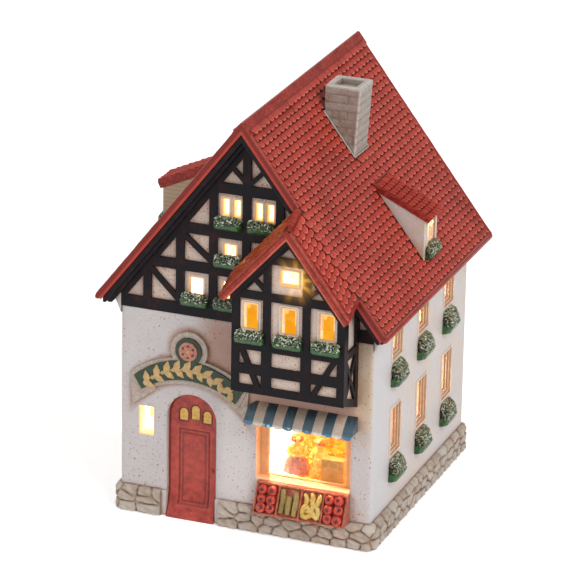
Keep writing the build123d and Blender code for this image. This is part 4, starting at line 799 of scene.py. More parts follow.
def clear_of(side):
    """Tiles stay off the dormer, the chimney and the joint with the bay's slope."""
    face, _, y, _ = dormers[side]
    head = dormer_head(side) + 1.2

    def keep(p):
        on_dormer = abs(p.y - y) < 8.2 and head < abs(p.x) < face - 0.6
        on_chimney = 11.6 < p.x < 25.6 and abs(p.y - chimney_y) < 7.9
        return not (on_dormer or on_chimney or beside_bay(p))
    return keep


def smooth_bed(p):
    """How far tiles lie up where the slab isn't stepped: on the ridge cap and about the chimney."""
    if abs(p.x) < ridge_cap_half:
        return 1.8
    return 10.5 < p.x < 29 and abs(p.y - chimney_y) < 9


ahead = (0, 1, 0)
for side, name in ((1, "roof_tiles_right"), (-1, "roof_tiles_left")):
    tile = Shape()
    down = (side * cos(pitch), 0, -sin(pitch))
    tiled(tile, (0, verge_front_y + verge_w, outer_z(0)), down, ahead, verge_rear_y - verge_front_y - 2 * verge_w,
          first_course, last_course, keep=clear_of(side), plain=smooth_bed)
    if side > 0:
        # the same courses run on over the joint with the bay's slope
        tiled(tile, (0, verge_front_y + verge_w - 4.64, outer_z(0)), down, ahead, 9.28, first_course, last_course,
              keep=lambda p: beside_bay(p) and p.y > verge_front_y - 0.5, plain=beside_bay, fill=0.6)
    face, _, y, _ = dormers[side]
    head = dormer_head(side)
    run = (face + 2.6 - head) / cos(dormer_pitch)
    down = (side * cos(dormer_pitch), 0, -sin(dormer_pitch))
    tiled(tile, (side * head, y - 7.9, outer_z(head)), down, ahead, 15.8, run % course, run, 3.2, fill=0.5, mat=1)
    tile.piece(name, ["tile", "matt_tile"], "roof", sharp=50)

bay_apex, bay_along = Vector((bay_x, bay_verge_y, bay_ridge_z)), Vector((0, 1, bay_climb))
bay_stretch = hypot(1, bay_climb)
bay_run = (verge_front_y - bay_verge_y) * bay_stretch - verge_w * bay_stretch
# the bay's left slope and its edge take the glowing orange glaze: painted light from the gable windows
bay_slopes = (
    (29.2, pitch, 1, 0, "bay_tile", "bay_tiles_right"),
    (30.6, bay_left_pitch, -1, 0.6, "warm_red", "bay_tiles_left"))
for reach, angle, side, fill, material, name in bay_slopes:
    tile = Shape()
    tiled(tile, bay_apex + bay_along * verge_w, (side * cos(angle), 0, -sin(angle)), bay_along,
          bay_run, verge_w, reach / cos(angle) - eave_w, 3.6, fill=fill)
    tile.piece(name, [material], "roof", sharp=50)


# Smooth rolled edges along the verges, the bay's ridge and the eaves
def roll(shape, a, b, side, normal, width, height):
    """A low rounded moulding from a to b, as wide as width towards side."""
    a, b, side, normal = Vector(a), Vector(b), Vector(side).normalized(), Vector(normal).normalized()
    steps = max(2, int((b - a).length / 2.5))
    rows, paint = [], []
    for i in range(steps + 1):
        p, wob = a.lerp(b, i / steps), rng.uniform(-0.08, 0.08)
        row, tone = [], []
        for j in range(8):
            bulge = sin(pi * j / 7)
            h = height * max(0, bulge) ** 0.7 + wob * bulge
            row.append(p + side * width * (j / 7) + normal * (h - 0.15))
            # a pale line on the crest: painted highlight; dark at both feet: painted shade where it meets the tiles
            tone.append((0.3, 0.35 if 2 <= j <= 3 else 0, 0.6 if j in (0, 7) else 0))
        rows.append(row)
        paint.append(tone)
    shape.grid(rows, 0, paint)
    shape.grid([r[::-1] for r in rows[:2]], 0, paint[:2])


edges, window_lit_edge = Shape(), Shape()
for side in (1, -1):
    n = (side * sin(pitch), 0, cos(pitch))
    whole = [(0, eave_x)]
    # the bay's roof takes the middle of the right front verge
    for y, way, runs in ((verge_front_y, 1, [(0, bay_x), (55.2, eave_x)] if side > 0 else whole),
                         (verge_rear_y, -1, whole)):
        for a, b in runs:
            roll(edges, (side * a, y, outer_z(a)), (side * b, y, outer_z(b)), (0, way, 0), n, verge_w + 0.1, 0.7)
    eave = [(side * eave_x, y, outer_z(eave_x)) for y in (verge_front_y, verge_rear_y)]
    roll(edges, *eave, (-side * cos(pitch), 0, sin(pitch)), n, eave_w, 0.5)
    # the eave's round nose
    nose_y = (verge_front_y + 0.2, verge_front_y + 1, mid_y, verge_rear_y - 1, verge_rear_y - 0.2)
    nose = [(side * (eave_x - 0.5), y, outer_z(eave_x) - 0.9) for y in nose_y]
    edges.tube(nose, [0.9, 1.25, 1.25, 1.25, 0.9], 0, (0.3, 0.15, 0.1), 12)
for reach, angle, side, *_ in bay_slopes:
    n = Vector((cos(angle) * side, 0, -sin(angle))).cross(bay_along) * side
    foot = (bay_x + side * reach, bay_verge_y, bay_ridge_z - reach * tan(angle))
    roll(edges if side > 0 else window_lit_edge, bay_apex, foot, bay_along, n, verge_w + 0.3, 0.6)
ridge = bay_apex + Vector((-1.8, 0, -1))
roll(edges, ridge, ridge + bay_along * 12.8, X, (0, -0.3, 1), 3.6, 1.3)
edges.piece("roof_edges", ["edge"], "roof", sharp=60)
window_lit_edge.piece("bay_left_edge", ["warm_red"], "roof", sharp=60)


# Door
def hump(x, wide):
    """One at zero, and falling off on both sides."""
    return exp(-(x / wide) ** 2)


def door_face():
    """The leaf's painted face: a double line about its panel, hollows for the lights, and the flared foot."""
    shape = Shape()
    half, spring, flare_h, flare_out = door_w / 2 - 0.2, 48, 16, 4.2
    bend = (flare_h ** 2 + flare_out ** 2) / (2 * flare_out)
    rows, paint = [], []
    for i in range(131):
        z = (spring + half - 0.03) * i / 130
        wide = half if z < spring else sqrt(half * half - (z - spring) ** 2)
        flare = bend - sqrt(bend * bend - max(0, flare_h - z) ** 2)
        row, tone = [], []
        for j in range(-30, 31):
            x = wide * j / 30
            inset = min(7.1 - abs(x - 0.6), z - 6.2, 42 - z)
            groove = max(hump(inset - d, 0.32) for d in (0, 1.7))
            light = 9
            for step, rise in ((-1, 0), (0, 1.8), (1, 0)):
                dx, low = abs(x - 1.1 - step * 5.6), 46.4 + rise
                over = z - (low + 5.7 - 1.9)
                light = min(light, max(hypot(dx, over) - 1.9 if over > 0 else dx - 1.9, low - z))
            h = 0.6 - 0.35 * groove - (0.5 if light < 0.35 else 0) + (0.12 if 0.3 < inset < 1.4 else 0)
            h -= 0.3 * max(0, abs(j / 30) - 0.93) / 0.07
            row.append((door_x + x, front_y + 3.2 - flare - h, z))
            # painted highlight on a line just outside the panel and along the leaf's sides
            edge_highlight = hump(min(abs(inset + 0.9), abs(abs(x) - wide + 1)), 0.5)
            shadow = max(0.85 * groove, 0.9 * hump(light - 0.4, 0.4), 0.5 * exp(-(wide - abs(x)) / 0.6))
            tone.append((0.5 * hump(z - 26, 12), 0.35 * edge_highlight, shadow))
        rows.append(row)
        paint.append(tone)
    shape.grid(rows, 0, paint)
    shape.piece("door_face", ["door"], "door", sharp=50)


door_face()


# Stone plinth
def stones(u, v, length, height, seed, wide=7.6, rows=3):
    """For points (u, v): how far each lies from the joint, and its stone's chance value."""
    local = random.Random(seed)
    seeds = []
    for i in range(rows):
        x = local.uniform(0, wide)
        while x < length:
            seeds.append((x, (i + 0.5 + local.uniform(-0.24, 0.24)) * height / rows))
            x += wide * local.uniform(0.6, 1.45)
    seeds = np.array(seeds)
    d = np.hypot((u[:, None] - seeds[None, :, 0]) / 1.3, v[:, None] - seeds[None, :, 1])
    order = np.argsort(d, axis=1)[:, :2]
    near = np.take_along_axis(d, order, 1)
    chance = np.array([local.random() for _ in seeds])
    return near[:, 1] - near[:, 0], chance[order[:, 0]]


def walk(points, radius, step):
    """Points along straight runs with rounded corners: position, outward normal, length so far."""
    points = [Vector(p) for p in points]
    path = points[:1]
    for last, p, following in zip(points, points[1:], points[2:]):
        before, after = (last - p).normalized(), (following - p).normalized()
        centre = p + (before + after) * radius
        for j in range(7):
            a = pi / 2 * j / 6
            path.append(centre - after * radius * cos(a) - before * radius * sin(a))
    path.append(points[-1])
    out, run = [], 0
    for a, b in zip(path, path[1:]):
        d = b - a
        count = max(1, round(d.length / step))
        for j in range(count):
            out.append((a + d * j / count, Vector((d.y, -d.x)).normalized(), run + d.length * j / count))
        run += d.length
    out.append((path[-1], out[-1][1], run))
    return out


lip, jamb = 2.6, 2.3
out_x, out_front, out_rear = half_w + lip, front_y - lip, rear_y + lip
door_gap = door_w / 2 + jamb
ring = walk([(door_x + door_gap, out_front), (out_x, out_front), (out_x, out_rear), (-out_x, out_rear),
             (-out_x, out_front), (door_x - door_gap, out_front)], 4.4, 0.48)
profile = [(0.5, 0)] + [(0, 0.5 + 9.6 * i / 20) for i in range(21)]
profile += [(0.25, 10.9), (0.8, 11.7), (1.6, 12.15), (2.5, 12.35), (4.4, 12.3)]
heights = [0]
for a, b in zip(profile, profile[1:]):
    heights.append(heights[-1] + hypot(b[0] - a[0], b[1] - a[1]))
uu = np.array([[r[2] for r in ring] for _ in profile]).ravel()
vv = np.array([[h] * len(ring) for h in heights]).ravel()
gap, chance = stones(uu, vv, ring[-1][2], 13.4, 5)
wave = 0.25 * np.sin(uu * 0.9 + vv * 1.7) * np.sin(uu * 0.37 - vv * 0.8)
swell = 0.85 * (1 - np.exp(-(gap / 0.6) ** 2)) + wave * 1.2
joint = np.exp(-(gap / 0.7) ** 2)
plinth = Shape()
rows, paint = [], []
for i, (inset, z) in enumerate(profile):
    row, tone = [], []
    on_top = i >= len(profile) - 2
    fade = 0 if i == 0 else (0.3 if on_top else 1)
    for k, (p, n, _) in enumerate(ring, i * len(ring)):
        q = p - n * (inset + 0.75 - swell[k] * fade)
        row.append((q.x, q.y, z + (0.45 * swell[k] - 0.3 if i > 22 else 0)))
        tone.append((chance[k], max(0, swell[k] - 0.75), max(joint[k], 0.9 if on_top else 0)))
    rows.append(row)
    paint.append(tone)
inner = [p - n * 5.6 for p, n, _ in ring]
rows += [[(p.x, p.y, z) for p in inner] for z in (plinth_h, 0)] + [rows[0]]
paint += [paint[-1], paint[-1], paint[0]]
plinth.grid(rows, 0, paint)
for j, way in ((0, -1), (-1, 1)):
    plinth.add([r[j] for r in rows[:-1]], [tuple(range(len(rows) - 1))[::way]])
plinth.piece("stone_plinth", ["stone"], "stone", sharp=60,
             stands_for=("plinth_front", "plinth_rear", "plinth_sides"))

jambs = Shape()
for side in (-1, 1):
    x = sorted((door_x + side * door_w / 2, door_x + side * (door_gap + 0.6)))
    jambs.rounded_box((x[0], front_y - 0.9, 0), (x[1], inner_front_y, plinth_h), 0.8, steps=3)
jambs.piece("door_jambs", ["plain"], "stucco")


# Chimney
def chimney():
    """A stack that tapers down its far face, with worn brick joints, a flue and a bead round its foot."""
    shape = Shape()
    near, far_top, taper, top_z = 11.2, 28.4, 2.2, 190.2
    brick_w, brick_h, per_face, count = 7.6, 3.7, 24, 64
    y0, y1 = chimney_y - chimney_half, chimney_y + chimney_half
    foot_z = outer_z(far_top - taper)
    corners = [(0, 0), (1, 0), (1, 1), (0, 1)]
    ways = [Vector((0, -1, 0)), X, Vector((0, 1, 0)), -X]

    def far(z):
        return far_top - taper * (top_z - z) / (top_z - foot_z)

    cols = []
    for i in range(4):
        a, b = corners[i], corners[(i + 1) % 4]
        for t in (j / per_face for j in range(per_face)):
            cols.append((a[0] + (b[0] - a[0]) * t, a[1] + (b[1] - a[1]) * t, i, t))
    rows, paint = [], []
    for q in range(count + 1):
        row, tone = [], []
        for fx, fy, face, t in cols:
            low = outer_z(near + (far_top - near) * fx) - 2
            z = low + (top_z - low) * q / count
            corner = 1 if t == 0 else 0
            n = (ways[face] + ways[face - 1]).normalized() if corner else ways[face]
            bed = (top_z - z) / brick_h
            level = floor(bed)
            length = t * (17.2 if face % 2 == 0 else 16.6) / brick_w + 0.5 * (level % 2) + 0.17 * face
            cell = floor(length)
            side = min(length - cell, 1 - length + cell) * brick_w
            rise = min(bed - level, 1 - bed + level) * brick_h
            pick = random.Random(level * 31 + cell * 7 + face * 131)
            worn = pick.random()
            d = min(rise, side if pick.random() > 0.25 and face != 1 else 9)
            worn = 0.5 + 0.3 * worn if face == 1 else worn * 0.8
            groove = hump(d, 0.32) * (0.35 + 0.65 * worn)
            at = Vector((near + (far(z) - near) * fx, y0 + (y1 - y0) * fy, z))
            row.append(at + n * (-0.35 * groove - 0.15 - 0.35 * corner))
            by_corner = 0.5 if t in (1 / per_face, 1 - 1 / per_face) else 0
            # painted highlight on the corners, beside them, and on the top rows
            edge_highlight = max(corner, by_corner, 1 if q >= count - 1 else 0)
            tone.append((worn, 0.9 * edge_highlight, groove * (1 if face == 1 else 0.8)))
        rows.append(row)
        paint.append(tone)
    # the top's rim, with a painted highlight on its outer row
    for inset, lift_z, edge_highlight in ((0.4, 0, 0.9), (1.4, 0.15, 0.3)):
        rows.append([Vector((near + inset + (far_top - near - 2 * inset) * fx,
                             y0 + inset + (y1 - y0 - 2 * inset) * fy, top_z + lift_z)) for fx, fy, _, _ in cols])
        paint.append([(0.6, edge_highlight, 0)] * len(cols))
    # the flue
    for w, d, down_z, shade in ((10.4, 9.4, 0, 0.1), (9.8, 8.8, 0.8, 0.3), (9.6, 8.6, 2.2, 0.45), (8.6, 7.6, 2.4, 0.1),
                                (1, 1, 2, 0)):
        rows.append([Vector((19.8 + w * (fx - 0.5), chimney_y + d * (fy - 0.5), top_z - down_z))
                     for fx, fy, _, _ in cols])
        paint.append([(0.4, 0, shade)] * len(cols))
    shape.grid(rows, 0, paint, wrap=True)
    shape.add(rows[-1], [tuple(range(len(cols)))], 0, (0.4, 0, 0.1))
    foot = far(foot_z)
    bead = [Vector((x, y, outer_z(x) + 0.5)) for x, y in (
        (near, y0 - 0.1), (foot, y0 - 0.1), (foot + 0.2, y1 + 0.1), (near, y1 + 0.1))]
    for a, b in zip(bead, bead[1:]):
        path = [a.lerp(b, k / 12) for k in range(13)]
        shape.tube(path, [0.5 + 0.08 * sin(2.1 * k) for k in range(13)], 0, (0.6, 0.4, 0), 8)
    shape.piece("chimney_stack", ["brick"], "chimney", stands_for=("chimney",), sharp=45)


chimney()


# Planted boxes
def planting(name, node, to_side, share, flower, brown_top):
    """Boxes of blossom: a green trough, dark leaves, and short strokes of petal and leaf all over them."""
    shape = Shape()
    for low, high in islands(node):
        out = Vector((1 if low.x > 0 else -1, 0, 0)) if to_side else Vector((0, -1, 0))
        across = out.cross(UP)
        size = high - low
        w, d, h = abs(size.dot(across)), abs(size.dot(out)), size.z
        wall = (low + high) / 2 - out * d / 2
        rim = share * h
        base_z = rim * 0.95

        def at(a, o, z):
            return wall + across * a + out * o + UP * (z - h / 2)

        def heap(a, f, half):
            """A point of the heap: a across it, at the angle f from its front to its top."""
            end = max(0, 1 - abs(a) ** 9) ** 0.4
            return at(a * w * half, d * 0.93 * cos(f) * (0.3 + 0.7 * end),
                      base_z + (h - base_z) * 0.93 * sin(f) * (0.45 + 0.55 * end))

        # trough, tapered and rounded, with a wavy rim
        rows = []
        for i in range(13):
            a = -1 + 2 * i / 12
            end = (1 - abs(a) ** 8) ** 0.3 * 0.35 + 0.65
            wavy = rim * (1 + 0.16 * sin(i * 2.6))
            rows.append([at(a * w / 2, o * d * end, z) for o, z in (
                (0, rim * 1.2), (0, 0), (0.55, 0.02 * h), (0.78, 0.06 * h), (0.93, rim * 0.75), (1, wavy),
                (0.86, rim * 1.15), (0, rim * 1.2))])
        shape.grid(rows, 0, [[(0.3, 0, 0)] * len(rows[0])] * len(rows))
        for row, way in ((rows[0], 1), (rows[-1], -1)):
            shape.add(row[:-1], [tuple(range(len(row) - 1))[::way]])
        # dark leaves behind the flowers, near black: leaf colour and painted shade in the gaps
        shape.grid([[heap(-1 + 2 * i / 10, pi / 2 * k / 6, 0.49) for k in range(7)] for i in range(11)], 1)
        # leaves and petals in short strokes, every way round
        n_up = max(3, round(pi / 2 * (d + h - base_z) / 2 / (flower * 0.95)))
        n_across = max(6, round(w / flower))
        for i in range(n_up):
            for j in range(n_across + (i % 2)):
                f = pi / 2 * min(1, max(0, (i + 0.5 + rng.uniform(-0.45, 0.45)) / n_up))
                a = -1 + 2 * (j + 0.5 - 0.5 * (i % 2) + rng.uniform(-0.4, 0.4)) / n_across
                a = min(max(a, -0.98), 0.98)
                face = (out * cos(f) + UP * (sin(f) + 0.12) + across * (a ** 3 * 0.9)).normalized()
                face = (face + Vector([rng.uniform(-k, k) for k in (0.4, 0.4, 0.3)])).normalized()
                place = Matrix.Translation(heap(a, f, 0.485) - face * 0.1)
                place = place @ face.to_track_quat("Z", "Y").to_matrix().to_4x4() @ spun(rng.uniform(0, 6.28), "Z")
                r = flower * rng.uniform(0.28, 0.58)
                place = place @ Matrix.Diagonal((r * rng.uniform(1.3, 2.1), r * rng.uniform(0.5, 0.8), r, 1))
                shade = (0.1 + 0.7 * rng.random()) if brown_top else rng.random() ** 0.8
                most = (1 if sin(f) > 0.75 else 0.75) if brown_top else 0.15
                olive = most * rng.random()
                # each stroke's back, towards the heap, is painted dark: painted shade between the strokes
                tone = [(shade, olive, 0)] * 2 + [(shade, olive, 0.25), (min(1, shade + 0.3), olive, 1)]
                shape.lathe([(0.03, 0.75), (0.55, 0.62), (1, 0.1), (0.75, -0.5)], place, 2, tone, 7)
    shape.piece(name, ["leaf", "dark_leaf", "blossom"], "planting", stands_for=(node,), sharp=55)


planting("gable_planting", "gable_flower_boxes", False, 0.38, 1.05, False)
planting("bay_planting", "bay_flower_boxes", False, 0.38, 1.05, False)
planting("side_planting", "side_flower_boxes", True, 0.30, 1.15, True)
planting("dormer_planting", "dormer_flower_boxes", True, 0.34, 1.05, True)


# Window surrounds
def rect_loop(w, h, r, per=3):
    pts = []
    for cx, cy, start in ((1, 1, 0), (-1, 1, 1), (-1, -1, 2), (1, -1, 3)):
        for j in range(per + 1):
            a = pi / 2 * (start + j / per)
            pts.append((cx * (w / 2 - r) + r * cos(a), cy * (h / 2 - r) + r * sin(a)))
    return pts


def surround(shape, place, w, h, steps, r=0.5, sill=-9):
    """A stepped frame. steps: (size beyond the hole, depth out of the wall, paint).

    Its foot goes no further in than the sill.
    """
    rows = []
    for grow, out, _ in steps:
        low = (h / 2 + max(grow, sill)) / (h / 2 + grow)
        loop = rect_loop(w + 2 * grow, h + 2 * grow, max(0.12, r + grow * 0.5))
        rows.append([place(a, b if b > 0 else b * low, out) for a, b in loop])
    shape.grid(rows, 0, [[tone] * len(rows[0]) for _, _, tone in steps], wrap=True)


def front_place(x, y, z):
    return lambda a, b, o: (x + a, y - o, z + b)


def side_place(side, x, y, z):
    return lambda a, b, o: (side * (x + o), y - side * a, z + b)


# Paints: how lit, how pale, how brown
pale, tanned, brown = (0, 1, 0), (0, 0.15, 0), (0, 0, 1)
orange, bright, dim, glow = (0.55, 0.2, 0.2), (1, 0.5, 0), (0.3, 0, 0.3), (0.7, 0, 0.2)
amber, line, mellow, rim = (0.34, 0, 0.7), (0, 0, 0.9), (0, 0.45, 0.1), (0.8, 0, 0.8)
gable_steps = [
    (0.95, -0.1, pale), (0.85, 0.32, pale), (0.35, 0.36, tanned), (0.22, 0.05, rim), (0, -0.1, rim),
    (-0.3, -0.3, rim), (-0.36, -2.6, bright), (0.1, -2.8, bright)]
bay_steps = [
    (1.35, -0.1, pale), (1.25, 0.38, pale), (0.75, 0.42, pale), (0.62, 0.1, tanned), (0.05, 0, tanned),
    (-0.05, -0.25, orange), (-0.45, -0.35, bright), (-0.55, -0.8, orange), (-0.9, -0.9, orange), (-0.95, -1.35, bright)]
small_steps = [
    (0.6, -0.3, pale), (0.25, -0.1, pale), (0.02, -0.5, orange), (-0.1, -2, bright), (-0.5, -2.3, bright),
    (-0.6, -5, bright), (0.05, -5.4, bright)]
side_steps = [
    (0.5, -0.3, pale), (0.45, 0.5, pale), (0, 0.55, pale), (-0.12, -0.3, line), (-0.9, -0.4, mellow),
    (-1, -1.2, line), (-1.9, -1.3, mellow), (-2, -2.2, line), (-2.8, -2.3, mellow), (-2.9, -4.2, dim),
    (0.2, -4.5, dim)]
dormer_steps = [
    (0.8, -0.2, pale), (0.7, 0.35, pale), (0.1, 0.4, tanned), (0, -0.3, brown), (-0.9, -0.4, pale),
    (-1, -2.4, orange), (0.1, -2.7, orange)]
shop_steps = [
    (0.6, -0.2, pale), (0, -0.5, (0.3, 0.3, 0)), (-0.4, -4.2, amber), (-0.6, -4.6, (0.25, 0, 0.9)),
    (-1, -4.7, amber), (-2.9, -4.8, amber), (-3, -5.4, (0.3, 0, 0.7)), (-4, -5.6, (0.5, 0, 0.3)),
    (-4.2, -6.6, glow), (0.1, -6.8, glow)]

front_frames, pane_feet = Shape(), Shape()
# gable windows: x, number of the beam above, width, height, distance below the beam
holes = [(c * post_step - 0.7, 0, 6.1, 9.6, 2.8) for c in (-1.5, -0.5)] + [(-0.5 * post_step - 0.7, 1, 5.8, 6.4, 2.8)]
holes += [(c * post_step - 0.3 + s * 2.65, 2, 3.4, 8.2, 2.5) for c in (-0.5, 0.5) for s in (-1, 1)]
for x, row, w, h, head in holes:
    surround(front_frames, front_place(x, front_y + 1.2, beam_z[row] - head - h / 2), w, h, gable_steps)
for x in (bay_x + column for column in bay_columns):
    surround(front_frames, front_place(x, bay_panel_y, 109.1), 6.6, 11.6, bay_steps)
    # the pane's lower end, and its lit reveal
    for shape, x0, x1, out, paint in ((pane_feet, -1.85, 3.15, 0.2, PLAIN),
                                      (front_frames, -3.2, -1.8, 0.12, (0.85, 0.3, 0))):
        shape.rounded_box((x + x0, bay_panel_y - out, 103.4), (x + x1, bay_panel_y + 0.2, 107.5), 0.1, paint)
surround(front_frames, front_place(bay_x, bay_panel_y, 128.7), 8.4, 6.8, gable_steps)
surround(front_frames, front_place(-47.1, front_y, 44.3), 6.8, 13.4, small_steps)
pane_feet.piece("bay_pane_feet", ["pane"], "pane")
front_frames.piece("front_window_frames", ["frame"], "stucco", sharp=35)

side_frames = Shape()
for side in (1, -1):
    for step in (-1, 0, 1):
        for z, h in ((35.5, 22.5), (81, 12.4)):
            place = side_place(side, half_w, mid_y + 1.5 + step * 34.5, z + h / 2)
            surround(side_frames, place, 13, h, side_steps, 0.3)
side_frames.piece("side_frames", ["frame"], "window_tan", stands_for=("side_window_frames",), sharp=35)

dormer_frames = Shape()
for side, (face, top_z, y, _) in dormers.items():
    surround(dormer_frames, side_place(side, face, y, top_z - 7.5), 10, 10.2, dormer_steps, 0.3)
dormer_frames.piece("dormer_frames", ["frame"], "stucco", sharp=35)

shop_frame = Shape()
surround(shop_frame, front_place(shop_x, front_y, shop_sill_z + 16.25), 44.2, 32.5, shop_steps, 0.6, sill=-1)
shop_frame.piece("shop_frame", ["frame"], "window_tan", stands_for=("shop_window_frame",), sharp=35)


# Awning
def awning():
    """Eleven bulging stripes with a scalloped hem; the left end is hipped."""
    shape = Shape()
    x0, count, top_z, drop, reach = shop_x - 25.3, 11, 62.5, 7.1, 8
    w = 50.6 / count
    hem_y, hem_z = front_y - reach, top_z - drop
    for i in range(count):
        rows = []
        for t in (j / 8 for j in range(9)):
            x = x0 + (i + t) * w
            bulge = 0.28 * sin(pi * t)
            hip = max(0, 1 - (x - x0) / 3.2)
            scallop = 1.3 * sqrt(max(0, 1 - (2 * t - 1) ** 2))
            row = [(x, front_y, top_z - hip * 2.2)]
            for s in (k / 6 for k in range(1, 7)):
                z = top_z - hip * 2.2 * (1 - s) - drop * s ** 1.15
                z += bulge * sin(pi * min(1, s + 0.2)) + 0.5 * sin(pi * s)
                row.append((x, front_y - reach * s * (1 - 0.12 * hip), z))
            row += [(x, hem_y + out, hem_z + z) for out, z in (
                (-0.15, -0.6), (0.05, -0.2 - scallop * 0.9), (0.5, -0.3 - scallop), (1, -scallop * 0.8), (1.2, 0.3))]
            rows.append(row + [(x, front_y, top_z - 7)])
        shape.grid(rows, i % 2)
        if i in (0, count - 1):
            end, way = (rows[0], -1) if i == 0 else (rows[-1], 1)
            shape.add(end, [tuple(range(len(end)))[::way]])
    shape.piece("striped_awning", ["blue", "white"], "awning", stands_for=("awning",), sharp=50)


awning()

# Produce
tray_lip, tray_foot = Vector((28.6, front_y - 2.5, shop_sill_z)), Vector((28.6, front_y - 8.5, plinth_h))
tray_mid, tray_down = (tray_lip + tray_foot) / 2, (tray_foot - tray_lip).normalized()
tray_out = Vector((0, tray_down.z, -tray_down.y))
tray_w, rib_w, tray_floor = 43, 1, -1.3
pocket_w = (tray_w - 5 * rib_w) / 4
pocket_x = [(i - 1.5) * (pocket_w + rib_w) for i in range(4)]
tilt = Matrix((X, tray_out.cross(X), tray_out)).transposed().to_4x4()


def on_tray(x, s, out):
    return tray_mid + X * x + tray_down * s + tray_out * (tray_floor + out)


apple_form = [(0.02, 0.62), (0.22, 0.66), (0.5, 0.86), (0.78, 0.78), (0.98, 0.4), (1, 0), (0.85, -0.42), (0.5, -0.8)]
# painted shade: dark in the top's dimple and on the underside; painted highlight: a paler shoulder
apple_paint = [(0, 0, 1), (0, 0, 0.9), (0.2, 0.05, 0.2), (0.3, 0.12, 0), (0.2, 0, 0), (0, 0, 0.25),
               (0, 0, 0.7), (0, 0, 1)]
fruit = Shape()
for px in (pocket_x[0], pocket_x[-1]):
    for c in (-0.5, 0.5):
        for s in (-1, 0, 1):
            spin = spun(rng.uniform(-0.4, 0.4), "X") @ spun(rng.uniform(-0.4, 0.4), "Y")
            place = Matrix.Translation(on_tray(px + c * 4.4, s * 4.1, 0.9)) @ tilt @ spin
            r = 2.3 * rng.uniform(0.95, 1.05)
            fruit.lathe([(a * r, b * r) for a, b in apple_form], place, 0, apple_paint, 14)
fruit.piece("apple_heap", ["apple"], "apple", stands_for=("apples",), sharp=60)

gourds = Shape()
for i, (bend, long, drop) in enumerate(((0.5, 10.4, 0), (-0.4, 8.2, 1.4), (0.3, 10.8, 0.1))):
    x = pocket_x[1] + (i - 1) * pocket_w / 3.1
    path, radii = [], []
    for t in (k / 10 for k in range(11)):
        path.append(on_tray(x + bend * (sin(pi * t) - 0.5), (t - 0.5) * long + drop,
                            0.95 + 0.2 * sin(7 * t + i)))
        radii.append(1.5 * (0.4 + 0.55 * sin(pi * min(0.96, max(0.06, 0.15 + 0.75 * t))) ** 0.6))
    gourds.tube(path, radii, 0, (rng.random(), 0, 0.1), 10)
gourds.piece("gourd_row", ["olive"], "olive", stands_for=("cucumbers",), sharp=60)

bunch = Shape()
for i, (cx, cs, angle) in enumerate((  # place in the pocket, and turn
    (-2.9, -2.6, 0.2), (2.7, -3, -0.3), (0, -3.4, 0.1), (-1, 0.6, 0.9), (1.6, 0.2, -0.7), (-2.9, 2.2, -0.2),
    (2.9, 1.8, 0.3), (0.2, 3, 1.3), (-1.6, 4.3, 1.7), (1.8, 4.4, 1.2), (0.4, -0.8, 0.3),
)):
    long, bend = rng.uniform(5.4, 6.6), rng.choice((-1.1, 1.1))
    path, radii = [], []
    for t in (k / 9 for k in range(10)):
        a, b = (t - 0.5) * long, bend * (sin(pi * t) - 0.5)
        x = cx + a * sin(angle) + b * cos(angle)
        s = cs + a * cos(angle) - b * sin(angle)
        path.append(on_tray(pocket_x[2] + min(max(x, -3.7), 3.7), min(max(s, -5.4), 5.4), 0.8 + 0.3 * (i % 3)))
        radii.append(1.25 * max(0.3, sin(pi * (0.05 + 0.9 * t)) ** 0.45))
    bunch.tube(path, radii, 0, (rng.random(), 0.2 * (i % 2), 0.1), 8)
bunch.piece("banana_bunch", ["yellow"], "yellow", stands_for=("bananas",), sharp=60)

# Sign ornament
sign_y = front_y - 2.4
garland, rosette = Shape(), Shape()


def sign_z(t):
    """Height of the sign's curve, from t = -1 at its left end to 1."""
    return sign_foot_z + (1 - t * t) * sign_rise


def leaf(x, z, length, width, angle):
    """A pointed leaf in relief, with a raised midrib."""
    ca, sa = cos(angle), sin(angle)
    rows = []
    for t in (i / 8 for i in range(9)):
        half = width / 2 * sin(pi * t ** 0.8) ** 0.8 * (1 + 0.12 * sin(14 * t))
        a, relief = (t - 0.5) * length, 0.4 + 0.6 * sin(pi * t) ** 0.5
        rows.append([(x + a * ca - b * half * sa, sign_y - h * relief, z + a * sa + b * half * ca) for b, h in (
            (-1, 0), (-0.95, 0.3), (-0.5, 0.42), (0, 0.62), (0.5, 0.42), (0.95, 0.3), (1, 0))])
    garland.grid(rows)


for i in range(9):
    t = i / 4 - 1
    x, z = sign_x + t * sign_half, sign_z(t)
    tangent = atan2(-2 * t * sign_rise, sign_half)
    leaf(x - 0.5, z + 1.6, 6.6, 3.1, tangent + 1)
    leaf(x + 0.7, z - 1.6, 6, 2.9, tangent - 0.95)
    if i < 8:
        berry = moved(x + sign_half / 8, sign_y, sign_z(t + 0.125)) @ to_front
        garland.lathe([(0.95, 0), (0.9, 0.3), (0.6, 0.6), (0.2, 0.72), (0.02, 0.7)], berry, 0, None, 10)
stem = [(sign_x + t * 20, sign_y - 0.12, sign_z(t)) for t in (k / 12 - 1 for k in range(25))]
garland.tube(stem, [0.28] * len(stem), 0, (0.2, 0, 0), 6)
garland.piece("sign_leaves", ["tan"], "sign_tan", stands_for=("sign_garland",), sharp=50)

